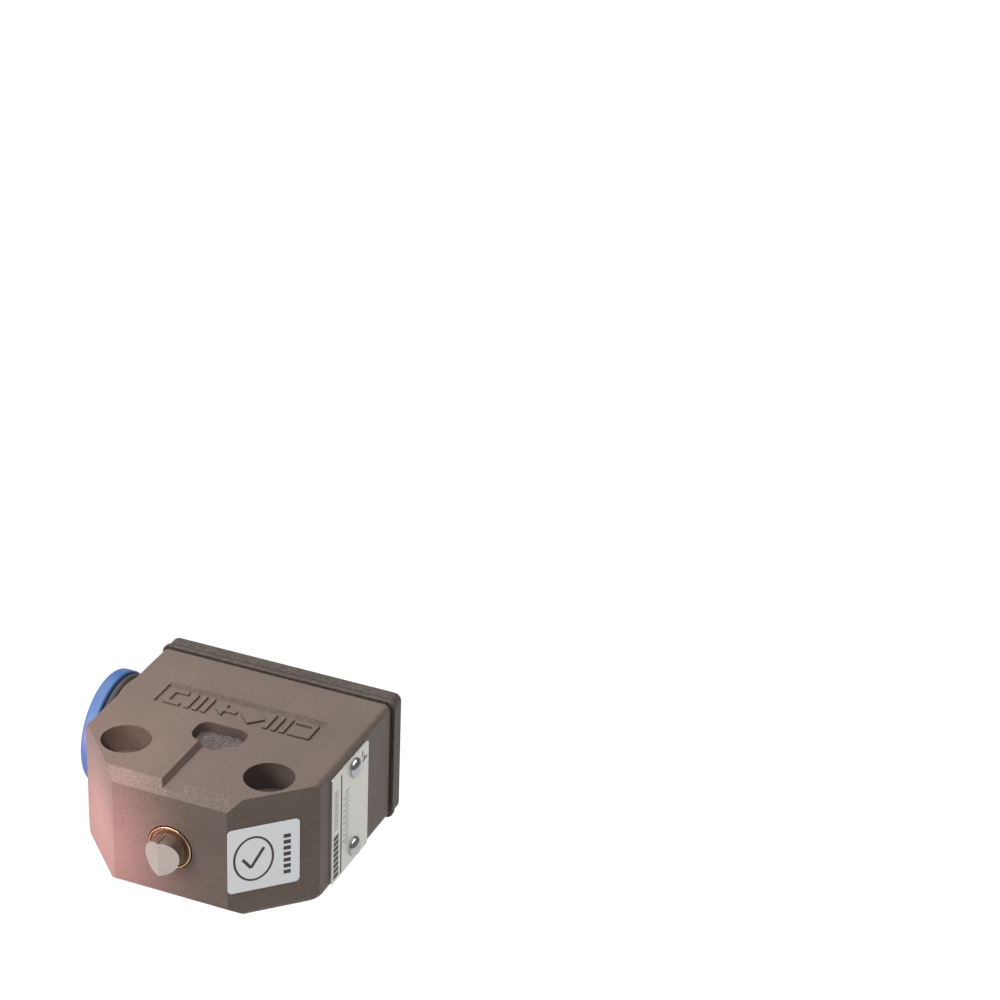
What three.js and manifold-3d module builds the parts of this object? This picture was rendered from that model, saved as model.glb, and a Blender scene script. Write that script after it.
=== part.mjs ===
// Single-position limit switch with a chisel-ended plunger and a side cable entry.
//
// Millimetres, +Z up. The origin lies on the flat mounting face, midway between the two
// mounting holes. +X points to the rating plate, +Y to the rear cover, +Z up through the
// thickness of the block. The plunger comes out of the front face, towards -Y.
import * as THREE from 'three';
import { mergeVertices } from 'three/addons/utils/BufferGeometryUtils.js';
import Module from 'manifold-3d';

const wasm = await Module();
wasm.setup();

// ---------------------------------------------------------------- driving dimensions

// Housing block
const bodyWidth = 56;
const bodyHeight = 30;
const bodyDepth = 49.2;
const cornerChamfer = 14.5;
const bevelBack = 2.4;
const bevelDown = 2.5;
const footBevelBack = 3.9;
const footBevelDown = 3.1;
const topEdgeRadius = 1.5;
const footRadius = 2.4;
const sideWall = 3.2;
const plateWall = 3;

// Mounting holes: two socket-head screws straight through the block
const holeSpacing = 34;
const holeFromFront = 12.5;
const holeDiameter = 6.5;
const seatDiameter = 11;
const seatDepth = 6.4;

// Plunger and its guide
const plungerDiameter = 8;
const plungerProud = 5.2;
const roofRise = 1.9;
const plungerGuided = 17;
const plungerTravel = 4.5;
const springLength = 8.5;
const springWire = 0.4;
const seatThickness = 1;
const sealDepth = 1.4;
const clipThickness = 0.8;
const stemDiameter = 3.6;
const stemLength = 13.3;
const pinDiameter = 1.4;
const pinFromFront = 12;
const bushWall = 0.92;
const bushProud = 0.3;
const bushFlange = 1.4;
const clipGroove = 0.3;
const runningClearance = 0.08;
const fitClearance = 0.1;
const rimClearance = 0.35;
const rimDepth = 0.8;
const scraperDepth = 1.0;
const scraperSection = 0.62;

// Keeper pocket in the top face and the drain channel that runs into it
const pocketWidth = 11.9;
const pocketLength = 7.6;
const pocketFromFront = 22.5;
const pocketFrontRadius = 3.4;
const pocketRearRadius = 2.6;
const pocketDepth = 2;
const keeperGap = 0.25;
const keeperNotch = 0.4;
const channelTop = 5.8;
const channelFloor = 4.2;
const channelDepth = 1.45;

// Cable entry on the left side, closed by a push-in plug
const entryFromFront = 36.1;
const entryBoreDiameter = 18.8;
const entryBossDiameter = 24.5;
const entryBossHeight = 2;
const plugFlangeDiameter = 26.54;
const plugFlangeThickness = 3;
const plugNeckLength = 11.4;
const plugWall = 1.4;
const plugRim = 3.6;
const plugRecess = 0.9;
const plugGrip = 2.2;
const sealThickness = 1.7;
const sealGap = 0.05;
const sealOverhang = 0.45;

// Rear cover, its gasket and screws
const gasketThickness = 0.9;
const gasketInset = 0.4;
const coverRim = 0.3;
const coverSideRim = 0.7;
const coverFlange = 1.25;
const coverThickness = 5.1;
const coverStep = 0.15;
const coverSideStep = 0.4;
const coverEdge = 1;
const cornerRadius = 1.8;
const spigotLength = 1.4;
const coverScrewInset = 3.6;
const pillarChamfer = 6.5;
const postHeight = 8;
const earthFromFront = 38;

// Switching element inside the chamber
const elementWidth = 26;
const elementHeight = 20;
const elementFromFront = 31.5;
const elementDepth = 11;
const elementWall = 1.5;
const lidThickness = 1.5;
const earLength = 5;
const earThickness = 2;
const earHeight = 7;
const earSetback = 4.5;
const tappetDiameter = 3.8;
const tappetLength = 6.1;
const contactGap = 1.3;
const stripThickness = 0.8;
const stripWidth = 5;
const terminalSpacing = 17;
const bridgeThickness = 0.8;
const buttonHeight = 1;
const pointGap = 0.1;

// Plate, label and screws
const plateStart = 19.2;
const plateEnd = 37.2;
const plateEdge = 1.7;
const plateThickness = 0.5;
const rivetFromFront = 30.5;
const rivetInset = 3.2;
const rivetHead = 4.6;
const rivetRise = 1.5;
const labelSide = 15.9;
const labelCorner = 1;
const labelThickness = 0.15;
const labelGap = 0.05;
const coverScrew = { shank: 3, head: 5.5, height: 2.2, length: 9, socket: 2.5 };
const earScrew = { shank: 3, head: 5, height: 2, length: 8, socket: 2.2 };
const earthScrew = { shank: 3.5, head: 5.6, height: 2.2, length: 9, socket: 2.6 };
const terminalScrew = { shank: 2.5, head: 4.2, height: 1.7, length: 2.8, socket: 1.9 };
const screwClearance = 0.05;

// ---------------------------------------------------------------- places worked out

const frontY = -holeFromFront;
const rearY = frontY + bodyDepth;
const axisZ = bodyHeight / 2;
const halfWidth = bodyWidth / 2;
const cavityHalf = halfWidth - sideWall;
const cavityFrontY = seatDiameter / 2 + sideWall;
const pocketY = frontY + pocketFromFront;
const bushBore = plungerDiameter / 2 + runningClearance;
const bushOuter = bushBore + bushWall;
const bushHole = bushOuter + fitClearance;
const bushBossY = pocketY + pocketLength / 2 + 2.2;
const bushBossHalf = pocketWidth / 2 + 3;
const bushFlangeY = bushBossY + 1;
const entryY = frontY + entryFromFront;
const sealX = halfWidth + entryBossHeight + sealGap;
const plugFlangeX = sealX + sealThickness + sealGap;
const coverY = rearY + gasketThickness;
const elementY = frontY + elementFromFront;
const lidY = elementY + elementDepth;
const earOffset = elementWidth / 2 + earLength / 2;
const earY = elementY + earSetback;
const overlap = 1;

// ---------------------------------------------------------------- materials

function metal(color, roughness, metalness = 0.6) {
  return new THREE.MeshStandardMaterial({ color, roughness, metalness });
}

function plastic(color, roughness) {
  return new THREE.MeshStandardMaterial({ color, roughness, metalness: 0 });
}

const paint = metal(0x6b5f57, 0.5, 0.25);
const coverPaint = metal(0x5a504b, 0.55, 0.25);
const bronze = metal(0xb59a5e, 0.3);
const steel = metal(0xc4b8b2, 0.28, 0.9);
const sintered = metal(0x6f6a65, 0.8, 0.4);
const zinc = metal(0xb8bcc0, 0.35, 0.9);
const brass = metal(0xc8a860, 0.35, 0.9);
const rubber = plastic(0x1d1b1a, 0.8);
const thermoset = plastic(0x2c2c2e, 0.6);
const lidPlastic = plastic(0xcfc6b2, 0.5);
const bluePlastic = plastic(0x5f8fd6, 0.35);
const plateMetal = metal(0xc9c9c4, 0.4, 0.8);
const labelFilm = plastic(0xd2d4d6, 0.5);

// ---------------------------------------------------------------- solids

// A three.js geometry as a closed solid that can be cut and joined.
function solid(geometry) {
  const bare = geometry.index ? geometry.toNonIndexed() : geometry;
  bare.deleteAttribute('normal');
  bare.deleteAttribute('uv');
  const merged = mergeVertices(bare, 1e-5);
  const mesh = new wasm.Mesh({
    numProp: 3,
    vertProperties: new Float32Array(merged.attributes.position.array),
    triVerts: new Uint32Array(merged.index.array),
  });
  return new wasm.Manifold(mesh);
}

function piece(name, shape, material) {
  const mesh = shape.getMesh();
  const geometry = new THREE.BufferGeometry();
  geometry.setAttribute('position', new THREE.BufferAttribute(mesh.vertProperties, 3));
  geometry.setIndex(new THREE.BufferAttribute(mesh.triVerts, 1));
  geometry.computeVertexNormals();
  const node = new THREE.Mesh(geometry, material);
  node.name = name;
  return node;
}

function box([x0, y0, z0], [x1, y1, z1]) {
  const geometry = new THREE.BoxGeometry(x1 - x0, y1 - y0, z1 - z0);
  return solid(geometry.translate((x0 + x1) / 2, (y0 + y1) / 2, (z0 + z1) / 2));
}

function extruded(outline, depth, options = {}) {
  const settings = { depth, bevelEnabled: false, curveSegments: 6, ...options };
  return new THREE.ExtrudeGeometry(outline, settings);
}

// Outline drawn in X and Y, standing between two heights.
function standing(outline, z0, z1) {
  return solid(extruded(outline, z1 - z0).translate(0, 0, z0));
}

// Outline drawn in X and Z, running from y0 to y1.
function runningBack(outline, y0, y1, options) {
  return solid(extruded(outline, y1 - y0, options).rotateX(Math.PI / 2).translate(0, y1, 0));
}

// Outline drawn in Y and Z, running from x0 to x1.
function runningAcross(outline, x0, x1) {
  const turn = new THREE.Matrix4().set(0, 0, 1, 0, 1, 0, 0, 0, 0, 1, 0, 0, 0, 0, 0, 1);
  return solid(extruded(outline, x1 - x0).applyMatrix4(turn).translate(x0, 0, 0));
}

// Closed turned profile of [radius, distance] pairs, listed up the outside and down the
// inside, with its axis along Y.
function turned(profile, segments = 32) {
  const points = profile.map(([r, y]) => new THREE.Vector2(r, y));
  if (profile[0][0] > 0) points.push(points[0].clone());
  return new THREE.LatheGeometry(points, segments);
}

function turnedY(profile, x, z, segments) {
  return solid(turned(profile, segments).translate(x, 0, z));
}

// Distance is measured along -X, so the profile is turned by a quarter turn about Z.
function turnedX(profile, y, z, segments) {
  return solid(turned(profile, segments).rotateZ(Math.PI / 2).translate(0, y, z));
}

function rod(radius, y0, y1, x, z, segments) {
  return turnedY([[0, y0], [radius, y0], [radius, y1], [0, y1]], x, z, segments);
}

function upright(radius, z0, z1, x, y, segments = 32) {
  const geometry = new THREE.CylinderGeometry(radius, radius, z1 - z0, segments);
  return solid(geometry.rotateX(Math.PI / 2).translate(x, y, (z0 + z1) / 2));
}

function polygon(points) {
  return new THREE.Shape(points.map(([a, b]) => new THREE.Vector2(a, b)));
}

// Rectangle between two corners; the radii go lower left, lower right, upper right, upper left.
function rounded([a0, b0], [a1, b1], [r0, r1, r2, r3]) {
  const shape = new THREE.Shape();
  shape.moveTo(a0 + r0, b0);
  shape.lineTo(a1 - r1, b0);
  shape.absarc(a1 - r1, b0 + r1, r1, -Math.PI / 2, 0);
  shape.lineTo(a1, b1 - r2);
  shape.absarc(a1 - r2, b1 - r2, r2, 0, Math.PI / 2);
  shape.lineTo(a0 + r3, b1);
  shape.absarc(a0 + r3, b1 - r3, r3, Math.PI / 2, Math.PI);
  shape.lineTo(a0, b0 + r0);
  shape.absarc(a0 + r0, b0 + r0, r0, Math.PI, 1.5 * Math.PI);
  return shape;
}

function evenly(lower, upper, radius) {
  return rounded(lower, upper, [radius, radius, radius, radius]);
}

// Wire coil along Y with a whole number of steps in each turn.
function coil(radius, wire, y0, y1, turns, x, z) {
  class Helix extends THREE.Curve {
    getPoint(t, target = new THREE.Vector3()) {
      const angle = 2 * Math.PI * turns * t;
      const along = y0 + wire + (y1 - y0 - 2 * wire) * t;
      return target.set(x + radius * Math.cos(angle), along, z + radius * Math.sin(angle));
    }
  }
  const section = new THREE.Shape();
  section.absarc(0, 0, wire, 0, 2 * Math.PI);
  const options = { steps: turns * 10, extrudePath: new Helix(), curveSegments: 3 };
  return solid(extruded(section, 1, options));
}

// ---------------------------------------------------------------- housing

const cavityLow = plateWall;
const cavityHigh = bodyHeight - plateWall;
const coverScrewPlaces = [
  ['lower_left', -1, -1],
  ['lower_right', 1, -1],
  ['upper_left', -1, 1],
  ['upper_right', 1, 1],
].map(([name, sx, sz]) => ({
  name,
  x: sx * (halfWidth - coverScrewInset),
  z: axisZ + sz * (axisZ - coverScrewInset),
}));
const earthPlace = {
  x: cavityHalf - earthScrew.head / 2 - 0.6,
  z: cavityLow + pillarChamfer + 1.3,
};
const earthBossEnd = frontY + earthFromFront;
const earthBossHalf = earthScrew.head / 2 + 0.5;

// Chamber outline with its corners left solid for the cover screws.
function chamberOutline(clearance) {
  const a = cavityHalf - clearance;
  const low = cavityLow + clearance;
  const high = cavityHigh - clearance;
  const c = pillarChamfer;
  return polygon([
    [-a + c, low], [a - c, low], [a, low + c], [a, high - c],
    [a - c, high], [-a + c, high], [-a, high - c], [-a, low + c],
  ]);
}

function outerBlock() {
  const beyondY = rearY + 2 * footRadius;
  const plan = polygon([
    [-halfWidth + cornerChamfer, frontY], [halfWidth - cornerChamfer, frontY],
    [halfWidth, frontY + cornerChamfer], [halfWidth, beyondY],
    [-halfWidth, beyondY], [-halfWidth, frontY + cornerChamfer],
  ]);
  const side = polygon([
    [frontY + footBevelBack, 0], [rearY, 0], [rearY, bodyHeight],
    [frontY + bevelBack, bodyHeight], [frontY, bodyHeight - bevelDown], [frontY, footBevelDown],
  ]);
  const end = evenly([-halfWidth, -2 * topEdgeRadius], [halfWidth, bodyHeight], topEdgeRadius);
  // The foot is rounded all round the plan; what rises past the top or the rear is cut off.
  const footRound = {
    bevelEnabled: true,
    bevelThickness: footRadius,
    bevelSize: footRadius,
    bevelOffset: -footRadius,
    bevelSegments: 3,
  };
  return solid(extruded(plan, bodyHeight, footRound).translate(0, 0, footRadius))
    .intersect(runningAcross(side, -halfWidth, halfWidth))
    .intersect(runningBack(end, frontY, rearY));
}

function entryBoss() {
  const outer = entryBossDiameter / 2;
  const root = halfWidth - sideWall;
  const face = halfWidth + entryBossHeight;
  const profile = [[0, root], [outer, root], [outer, face - 0.4], [outer - 0.4, face], [0, face]];
  return turnedX(profile, entryY, axisZ, 40);
}

function entryBore() {
  const bore = entryBoreDiameter / 2;
  const face = halfWidth + entryBossHeight;
  const inner = plugFlangeX - plugNeckLength - overlap;
  const profile = [
    [0, inner], [bore, inner], [bore, face - 0.5],
    [bore + 0.5, face], [bore + 0.5, face + overlap], [0, face + overlap],
  ];
  return turnedX(profile, entryY, axisZ, 40);
}

function chamber() {
  const hollow = runningBack(chamberOutline(0), cavityFrontY, rearY + overlap);
  const bushBoss = box(
    [-bushBossHalf, cavityFrontY - overlap, 0],
    [bushBossHalf, bushBossY, bodyHeight],
  );
  const earthBoss = box(
    [earthPlace.x - earthBossHalf, cavityFrontY - overlap, 0],
    [halfWidth, earthBossEnd, earthPlace.z + earthBossHalf],
  );
  let open = hollow.subtract(bushBoss).subtract(earthBoss);
  for (const side of [-1, 1]) {
    const inner = elementWidth / 2 + fitClearance;
    const post = box(
      [Math.min(side * inner, side * (inner + earLength)), cavityFrontY - overlap,
        axisZ - postHeight / 2],
      [Math.max(side * inner, side * (inner + earLength)), earY, axisZ + postHeight / 2],
    );
    open = open.subtract(post);
  }
  return open;
}

function pocketOutline(gap) {
  const lower = [-pocketWidth / 2 + gap, pocketY - pocketLength / 2 + gap];
  const upper = [pocketWidth / 2 - gap, pocketY + pocketLength / 2 - gap];
  const front = pocketFrontRadius - gap;
  const rear = pocketRearRadius - gap;
  return rounded(lower, upper, [front, front, rear, rear]);
}

const keeperSeatZ = axisZ + bushOuter - keeperNotch;

function drainChannel() {
  const floorZ = bodyHeight - channelDepth;
  const slope = (channelTop - channelFloor) / 2 / channelDepth;
  const wide = channelTop / 2 + slope * overlap;
  const section = polygon([
    [-channelFloor / 2, floorZ], [channelFloor / 2, floorZ],
    [wide, bodyHeight + overlap], [-wide, bodyHeight + overlap],
  ]);
  return runningBack(section, frontY - overlap, pocketY);
}

function screwHole(screw, y, x, z) {
  return rod(screw.shank / 2 + screwClearance, y - screw.length - 0.5, y + overlap, x, z, 16);
}

function housing() {
  let block = outerBlock().add(entryBoss()).subtract(chamber());
  for (const side of [-1, 1]) {
    const x = side * holeSpacing / 2;
    block = block
      .subtract(upright(holeDiameter / 2, -overlap, bodyHeight + overlap, x, 0))
      .subtract(upright(seatDiameter / 2, bodyHeight - seatDepth, bodyHeight + overlap, x, 0, 40));
    block = block.subtract(screwHole(earScrew, earY, side * earOffset, axisZ));
  }
  for (const { x, z } of coverScrewPlaces) {
    block = block.subtract(screwHole(coverScrew, rearY, x, z));
  }
  block = block
    .subtract(screwHole(earthScrew, earthBossEnd, earthPlace.x, earthPlace.z))
    .subtract(drainChannel())
    .subtract(standing(pocketOutline(0), keeperSeatZ, bodyHeight + overlap))
    .subtract(rod(bushHole, frontY - overlap, bushBossY + overlap, 0, axisZ, 40))
    .subtract(rod(bushHole + rimClearance, frontY - overlap, frontY + rimDepth, 0, axisZ, 40));
  block = block.subtract(entryBore());
  const hole = rivetHole();
  for (const { z } of rivetPlaces) block = block.subtract(hole.translate([0, 0, z]));
  return piece('housing', block, paint);
}

// ---------------------------------------------------------------- plunger and guide

const bushFrontY = frontY - bushProud;
const scraperY = bushFrontY + scraperDepth / 2;
const springSeatY = frontY + plungerGuided + springLength;
const sealY = springSeatY + seatThickness + fitClearance;
const clipY = sealY + sealDepth + fitClearance;
const innerBore = plungerDiameter / 2 - fitClearance;
const pinY = frontY + pinFromFront;

function guideBush() {
  const mouth = bushBore + scraperSection;
  const groove = bushBore + clipGroove;
  const flange = bushOuter + bushFlange;
  const profile = [
    [mouth, bushFrontY], [bushOuter - 0.15, bushFrontY], [bushOuter, bushFrontY + 0.15],
    [bushOuter, bushBossY], [flange, bushBossY], [flange, bushFlangeY], [bushBore, bushFlangeY],
    [bushBore, clipY + clipThickness], [groove, clipY + clipThickness],
    [groove, clipY - screwClearance], [bushBore, clipY - screwClearance],
    [bushBore, scraperY + scraperDepth], [mouth, scraperY + scraperDepth],
  ];
  const slotHalf = pinDiameter / 2 + fitClearance;
  const slot = box(
    [-bushOuter - overlap, pinY - slotHalf, axisZ - slotHalf],
    [bushOuter + overlap, pinY + plungerTravel + slotHalf + 0.2, axisZ + slotHalf],
  );
  const notch = box(
    [-bushOuter - overlap, pocketY - pocketLength / 2, keeperSeatZ],
    [bushOuter + overlap, pocketY + pocketLength / 2, axisZ + bushOuter + overlap],
  );
  const bush = turnedY(profile, 0, axisZ, 32).subtract(slot).subtract(notch);
  return piece('guide_bush', bush, bronze);
}

function ring(name, inner, outer, y0, y1, material, segments = 32) {
  const profile = [[inner, y0], [outer, y0], [outer, y1], [inner, y1]];
  return piece(name, turnedY(profile, 0, axisZ, segments), material);
}

function plungerGroup() {
  const radius = plungerDiameter / 2;
  const tipY = frontY - plungerProud;
  const shoulderY = frontY + plungerGuided;
  const stem = stemDiameter / 2;
  const endY = shoulderY + stemLength;
  const profile = [
    [0, tipY], [radius, tipY], [radius, shoulderY], [stem, shoulderY],
    [stem, endY - 0.4], [stem - 0.4, endY], [0, endY],
  ];
  const wide = radius + overlap;
  const roofSide = tipY + roofRise * wide / radius;
  const roof = polygon([[0, tipY], [wide, roofSide], [wide, endY], [-wide, endY], [-wide, roofSide]]);
  const pinHole = pinDiameter / 2 + screwClearance;
  const body = turnedY(profile, 0, axisZ, 40)
    .intersect(standing(roof, axisZ - wide, axisZ + wide))
    .subtract(crossRod(pinHole, radius + overlap));
  return [
    piece('plunger', body, steel),
    piece('guide_pin', crossRod(pinDiameter / 2, bushOuter - fitClearance), steel),
  ];
}

function crossRod(radius, half) {
  const profile = [[0, -half], [radius, -half], [radius, half], [0, half]];
  return turnedX(profile, pinY, axisZ, 16);
}

function bushKeeper() {
  const top = bodyHeight - pocketDepth;
  return piece('bush_keeper', standing(pocketOutline(keeperGap), keeperSeatZ, top), sintered);
}

function guideParts() {
  const shoulderY = frontY + plungerGuided;
  const stemHole = stemDiameter / 2 + fitClearance;
  const coilRadius = bushBore - 2 * springWire - 0.28;
  const spring = coil(coilRadius, springWire, shoulderY + pointGap, springSeatY - pointGap, 4, 0,
    axisZ);
  const lip = plungerDiameter / 2 + runningClearance / 2;
  const scraperOuter = bushBore + scraperSection - 0.02;
  const scraperEnd = scraperY + scraperDepth;
  const clipEnd = clipY + clipThickness - screwClearance;
  return [
    guideBush(),
    ring('scraper_ring', lip, scraperOuter, scraperY, scraperEnd, rubber),
    ring('spring_seat', stemHole, innerBore, springSeatY, springSeatY + seatThickness, steel, 24),
    ring('stem_seal', stemHole, innerBore, sealY, sealY + sealDepth, rubber, 24),
    ring('retaining_ring', stemHole + 0.6, bushBore + clipGroove - screwClearance, clipY, clipEnd,
      steel, 24),
    piece('return_spring', spring, steel),
    bushKeeper(),
  ];
}

// ---------------------------------------------------------------- switching element

const stemEndY = frontY + plungerGuided + stemLength;
const tappetY = stemEndY + pointGap;
const contactFrontY = elementY + elementWall + 1.6;
const bridgeY = contactFrontY + stripThickness + pointGap + buttonHeight;
const contactRearY = bridgeY + bridgeThickness + buttonHeight + contactGap;
const terminalX = terminalSpacing / 2;
const contactSides = [['left', -1], ['right', 1]];
const lidEndY = lidY + lidThickness;
const terminalZ = elementHeight / 2 - elementWall - 0.4;
const padY = lidEndY + 0.1;
const washerY = padY + stripThickness + 0.1;
const washerThickness = 0.7;

function elementCase() {
  const half = elementWidth / 2;
  const tall = elementHeight / 2;
  let shell = box([-half, elementY, axisZ - tall], [half, lidY, axisZ + tall]);
  const ears = box(
    [-half - earLength, earY, axisZ - earHeight / 2],
    [half + earLength, earY + earThickness, axisZ + earHeight / 2],
  );
  shell = shell.add(ears).subtract(box(
    [-half + elementWall, elementY + elementWall, axisZ - tall + elementWall],
    [half - elementWall, lidY + overlap, axisZ + tall - elementWall],
  ));
  const tappetHole = tappetDiameter / 2 + fitClearance;
  shell = shell.subtract(rod(tappetHole, elementY - overlap, elementY + 2 * elementWall, 0, axisZ, 24));
  for (const side of [-1, 1]) {
    const hole = earScrew.shank / 2 + fitClearance;
    shell = shell.subtract(
      rod(hole, earY - overlap, earY + earThickness + overlap, side * earOffset, axisZ, 16),
    );
  }
  return piece('element_case', shell, thermoset);
}

// Each fixed contact is a strip: an upright blade inside, a leg through the lid and a pad.
function contactParts(kind, sideName, side) {
  const up = kind === 'nc' ? 1 : -1;
  const bladeY = kind === 'nc' ? contactFrontY : contactRearY;
  const x0 = side * terminalX - stripWidth / 2;
  const x1 = x0 + stripWidth;
  const tipZ = -2 * up;
  const legZ = up * terminalZ;
  const innerLegZ = up * (terminalZ - stripThickness);
  const padEndZ = up * (terminalZ - 4.8);
  const between = (a, b) => [axisZ + Math.min(a, b), axisZ + Math.max(a, b)];
  const slab = (y0, y1, a, b) => {
    const [z0, z1] = between(a, b);
    return box([x0, y0, z0], [x1, y1, z1]);
  };
  const padCentre = axisZ + (legZ + padEndZ) / 2;
  const strip = slab(bladeY, bladeY + stripThickness, tipZ, legZ)
    .add(slab(bladeY, padY + stripThickness, innerLegZ, legZ))
    .add(slab(padY, padY + stripThickness, padEndZ, legZ))
    .subtract(rod(terminalScrew.shank / 2 + fitClearance, padY - 0.5, padY + 2, side * terminalX,
      padCentre, 16));
  return {
    name: `${kind}_${sideName}`,
    strip: piece(`contact_${kind}_${sideName}`, strip, brass),
    legSlot: slab(lidY - overlap, lidEndY + overlap, innerLegZ - up * fitClearance,
      legZ + up * fitClearance),
    x: side * terminalX,
    z: padCentre,
  };
}

const contacts = ['nc', 'no'].flatMap(
  (kind) => contactSides.map(([sideName, side]) => contactParts(kind, sideName, side)),
);

function elementLid() {
  const half = elementWidth / 2;
  const tall = elementHeight / 2;
  let lid = box([-half, lidY, axisZ - tall], [half, lidEndY, axisZ + tall]);
  for (const { legSlot, x, z } of contacts) {
    const hole = terminalScrew.shank / 2 + screwClearance;
    lid = lid
      .subtract(legSlot)
      .subtract(rod(hole, lidY - overlap, lidEndY + overlap, x, z, 16));
  }
  return piece('element_lid', lid, lidPlastic);
}

function clampWasher({ name, x, z }) {
  const half = 2.2;
  const plate = box([x - half, washerY, z - half], [x + half, washerY + washerThickness, z + half]);
  const hole = rod(terminalScrew.shank / 2 + fitClearance, washerY - 0.5, washerY + 2, x, z, 16);
  return piece(`clamp_washer_${name}`, plate.subtract(hole), zinc);
}

// Round-headed screw along Y whose head rests on the plane y and whose shank goes forward.
function screw(name, size, y, x, z, material) {
  const shank = size.shank / 2;
  const head = size.head / 2;
  const profile = [
    [0, y - size.length], [shank - 0.3, y - size.length], [shank, y - size.length + 0.3],
    [shank, y], [head, y], [head, y + size.height - 0.3], [head - 0.3, y + size.height],
    [0, y + size.height],
  ];
  const socket = new THREE.CylinderGeometry(size.socket / 2, size.socket / 2, size.height, 6);
  const hollow = solid(socket.translate(x, y + size.height, z));
  return piece(name, turnedY(profile, x, z, 16).subtract(hollow), material);
}

function contactBridge() {
  const half = terminalX + 1.4;
  const hub = tappetDiameter / 2 + 1.2;
  let bar = box([-half, bridgeY, axisZ - 1.3], [half, bridgeY + bridgeThickness, axisZ + 1.3]);
  bar = bar.add(rod(hub, bridgeY, bridgeY + bridgeThickness, 0, axisZ, 24));
  for (const side of [-1, 1]) {
    const y0 = bridgeY - buttonHeight;
    const y1 = bridgeY + bridgeThickness + buttonHeight;
    bar = bar.add(rod(1.2, y0, y1, side * terminalX, axisZ, 16));
  }
  const hole = rod(tappetDiameter / 2 + fitClearance, bridgeY - overlap, bridgeY + 3, 0, axisZ, 24);
  return piece('contact_bridge', bar.subtract(hole), brass);
}

function elementParts() {
  const tappetEnd = tappetY + tappetLength;
  const radius = tappetDiameter / 2;
  const tappet = turnedY([
    [0, tappetY], [radius - 0.3, tappetY], [radius, tappetY + 0.3], [radius, tappetEnd],
    [0, tappetEnd],
  ], 0, axisZ, 24);
  const springStart = bridgeY + bridgeThickness + pointGap;
  const springRadius = tappetDiameter / 2 + 0.7;
  const parts = [
    elementCase(),
    elementLid(),
    piece('tappet', tappet, lidPlastic),
    contactBridge(),
    piece('contact_spring', coil(springRadius, 0.25, springStart, lidY - pointGap, 3, 0, axisZ), steel),
  ];
  for (const contact of contacts) {
    parts.push(contact.strip, clampWasher(contact));
    const seat = washerY + washerThickness + 0.05;
    const name = `terminal_screw_${contact.name}`;
    parts.push(screw(name, terminalScrew, seat, contact.x, contact.z, zinc));
  }
  const earSeat = earY + earThickness;
  for (const [sideName, side] of contactSides) {
    parts.push(screw(`element_screw_${sideName}`, earScrew, earSeat, side * earOffset, axisZ, zinc));
  }
  const { x, z } = earthPlace;
  const washerEnd = earthBossEnd + washerThickness;
  const inner = earthScrew.shank / 2 + fitClearance;
  const outer = earthScrew.head / 2 + 0.3;
  const washer = [
    [inner, earthBossEnd], [outer, earthBossEnd], [outer, washerEnd], [inner, washerEnd],
  ];
  parts.push(piece('earth_washer', turnedY(washer, x, z, 24), zinc));
  parts.push(screw('earth_screw', earthScrew, washerEnd + screwClearance, x, z, brass));
  return parts;
}

// ---------------------------------------------------------------- cover

function coverParts() {
  const inset = gasketInset;
  const frame = evenly([-halfWidth + inset, inset], [halfWidth - inset, bodyHeight - inset],
    cornerRadius - inset);
  let gasket = runningBack(frame, rearY, coverY)
    .subtract(runningBack(chamberOutline(0), rearY - overlap, coverY + overlap));
  const wide = halfWidth + coverSideRim;
  const high = bodyHeight + coverRim;
  const flange = evenly([-wide, 0], [wide, high], cornerRadius);
  const step = coverStep + coverEdge;
  const slabHalf = wide - coverSideStep - coverEdge;
  const slab = evenly([-slabHalf, step], [slabHalf, high - step], cornerRadius - coverEdge);
  const bevel = {
    bevelEnabled: true,
    bevelThickness: coverEdge,
    bevelSize: coverEdge,
    bevelSegments: 3,
    curveSegments: 4,
  };
  const endY = coverY + coverThickness;
  let cover = runningBack(flange, coverY, coverY + coverFlange)
    .add(runningBack(slab, coverY + coverFlange, endY - coverEdge, bevel))
    .add(runningBack(chamberOutline(0.3), coverY - spigotLength, coverY + 0.5));
  const seatY = endY - coverScrew.height - 0.4;
  const parts = [];
  for (const { name, x, z } of coverScrewPlaces) {
    const hole = coverScrew.shank / 2 + fitClearance;
    gasket = gasket.subtract(rod(hole, rearY - overlap, coverY + overlap, x, z, 16));
    cover = cover
      .subtract(rod(hole, rearY, endY + overlap, x, z, 16))
      .subtract(rod(coverScrew.head / 2 + 0.2, seatY, endY + overlap, x, z, 24));
    const size = { ...coverScrew, length: seatY - rearY + coverScrew.length };
    parts.push(screw(`cover_screw_${name}`, size, seatY, x, z, zinc));
  }
  return [piece('cover_gasket', gasket, rubber), piece('cover', cover, coverPaint), ...parts];
}

// ---------------------------------------------------------------- plate and label

const rivetY = frontY + rivetFromFront;
const rivetPlaces = [
  { name: 'lower', z: plateEdge + rivetInset },
  { name: 'upper', z: bodyHeight - plateEdge - rivetInset },
];
const rivetShank = 0.8;
const rivetLength = 2.4;

function rivetHole() {
  const radius = rivetShank + screwClearance;
  const geometry = new THREE.CylinderGeometry(radius, radius, 2 * (rivetLength + 0.2), 16);
  return solid(geometry.rotateZ(Math.PI / 2).translate(halfWidth, rivetY, 0));
}

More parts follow.
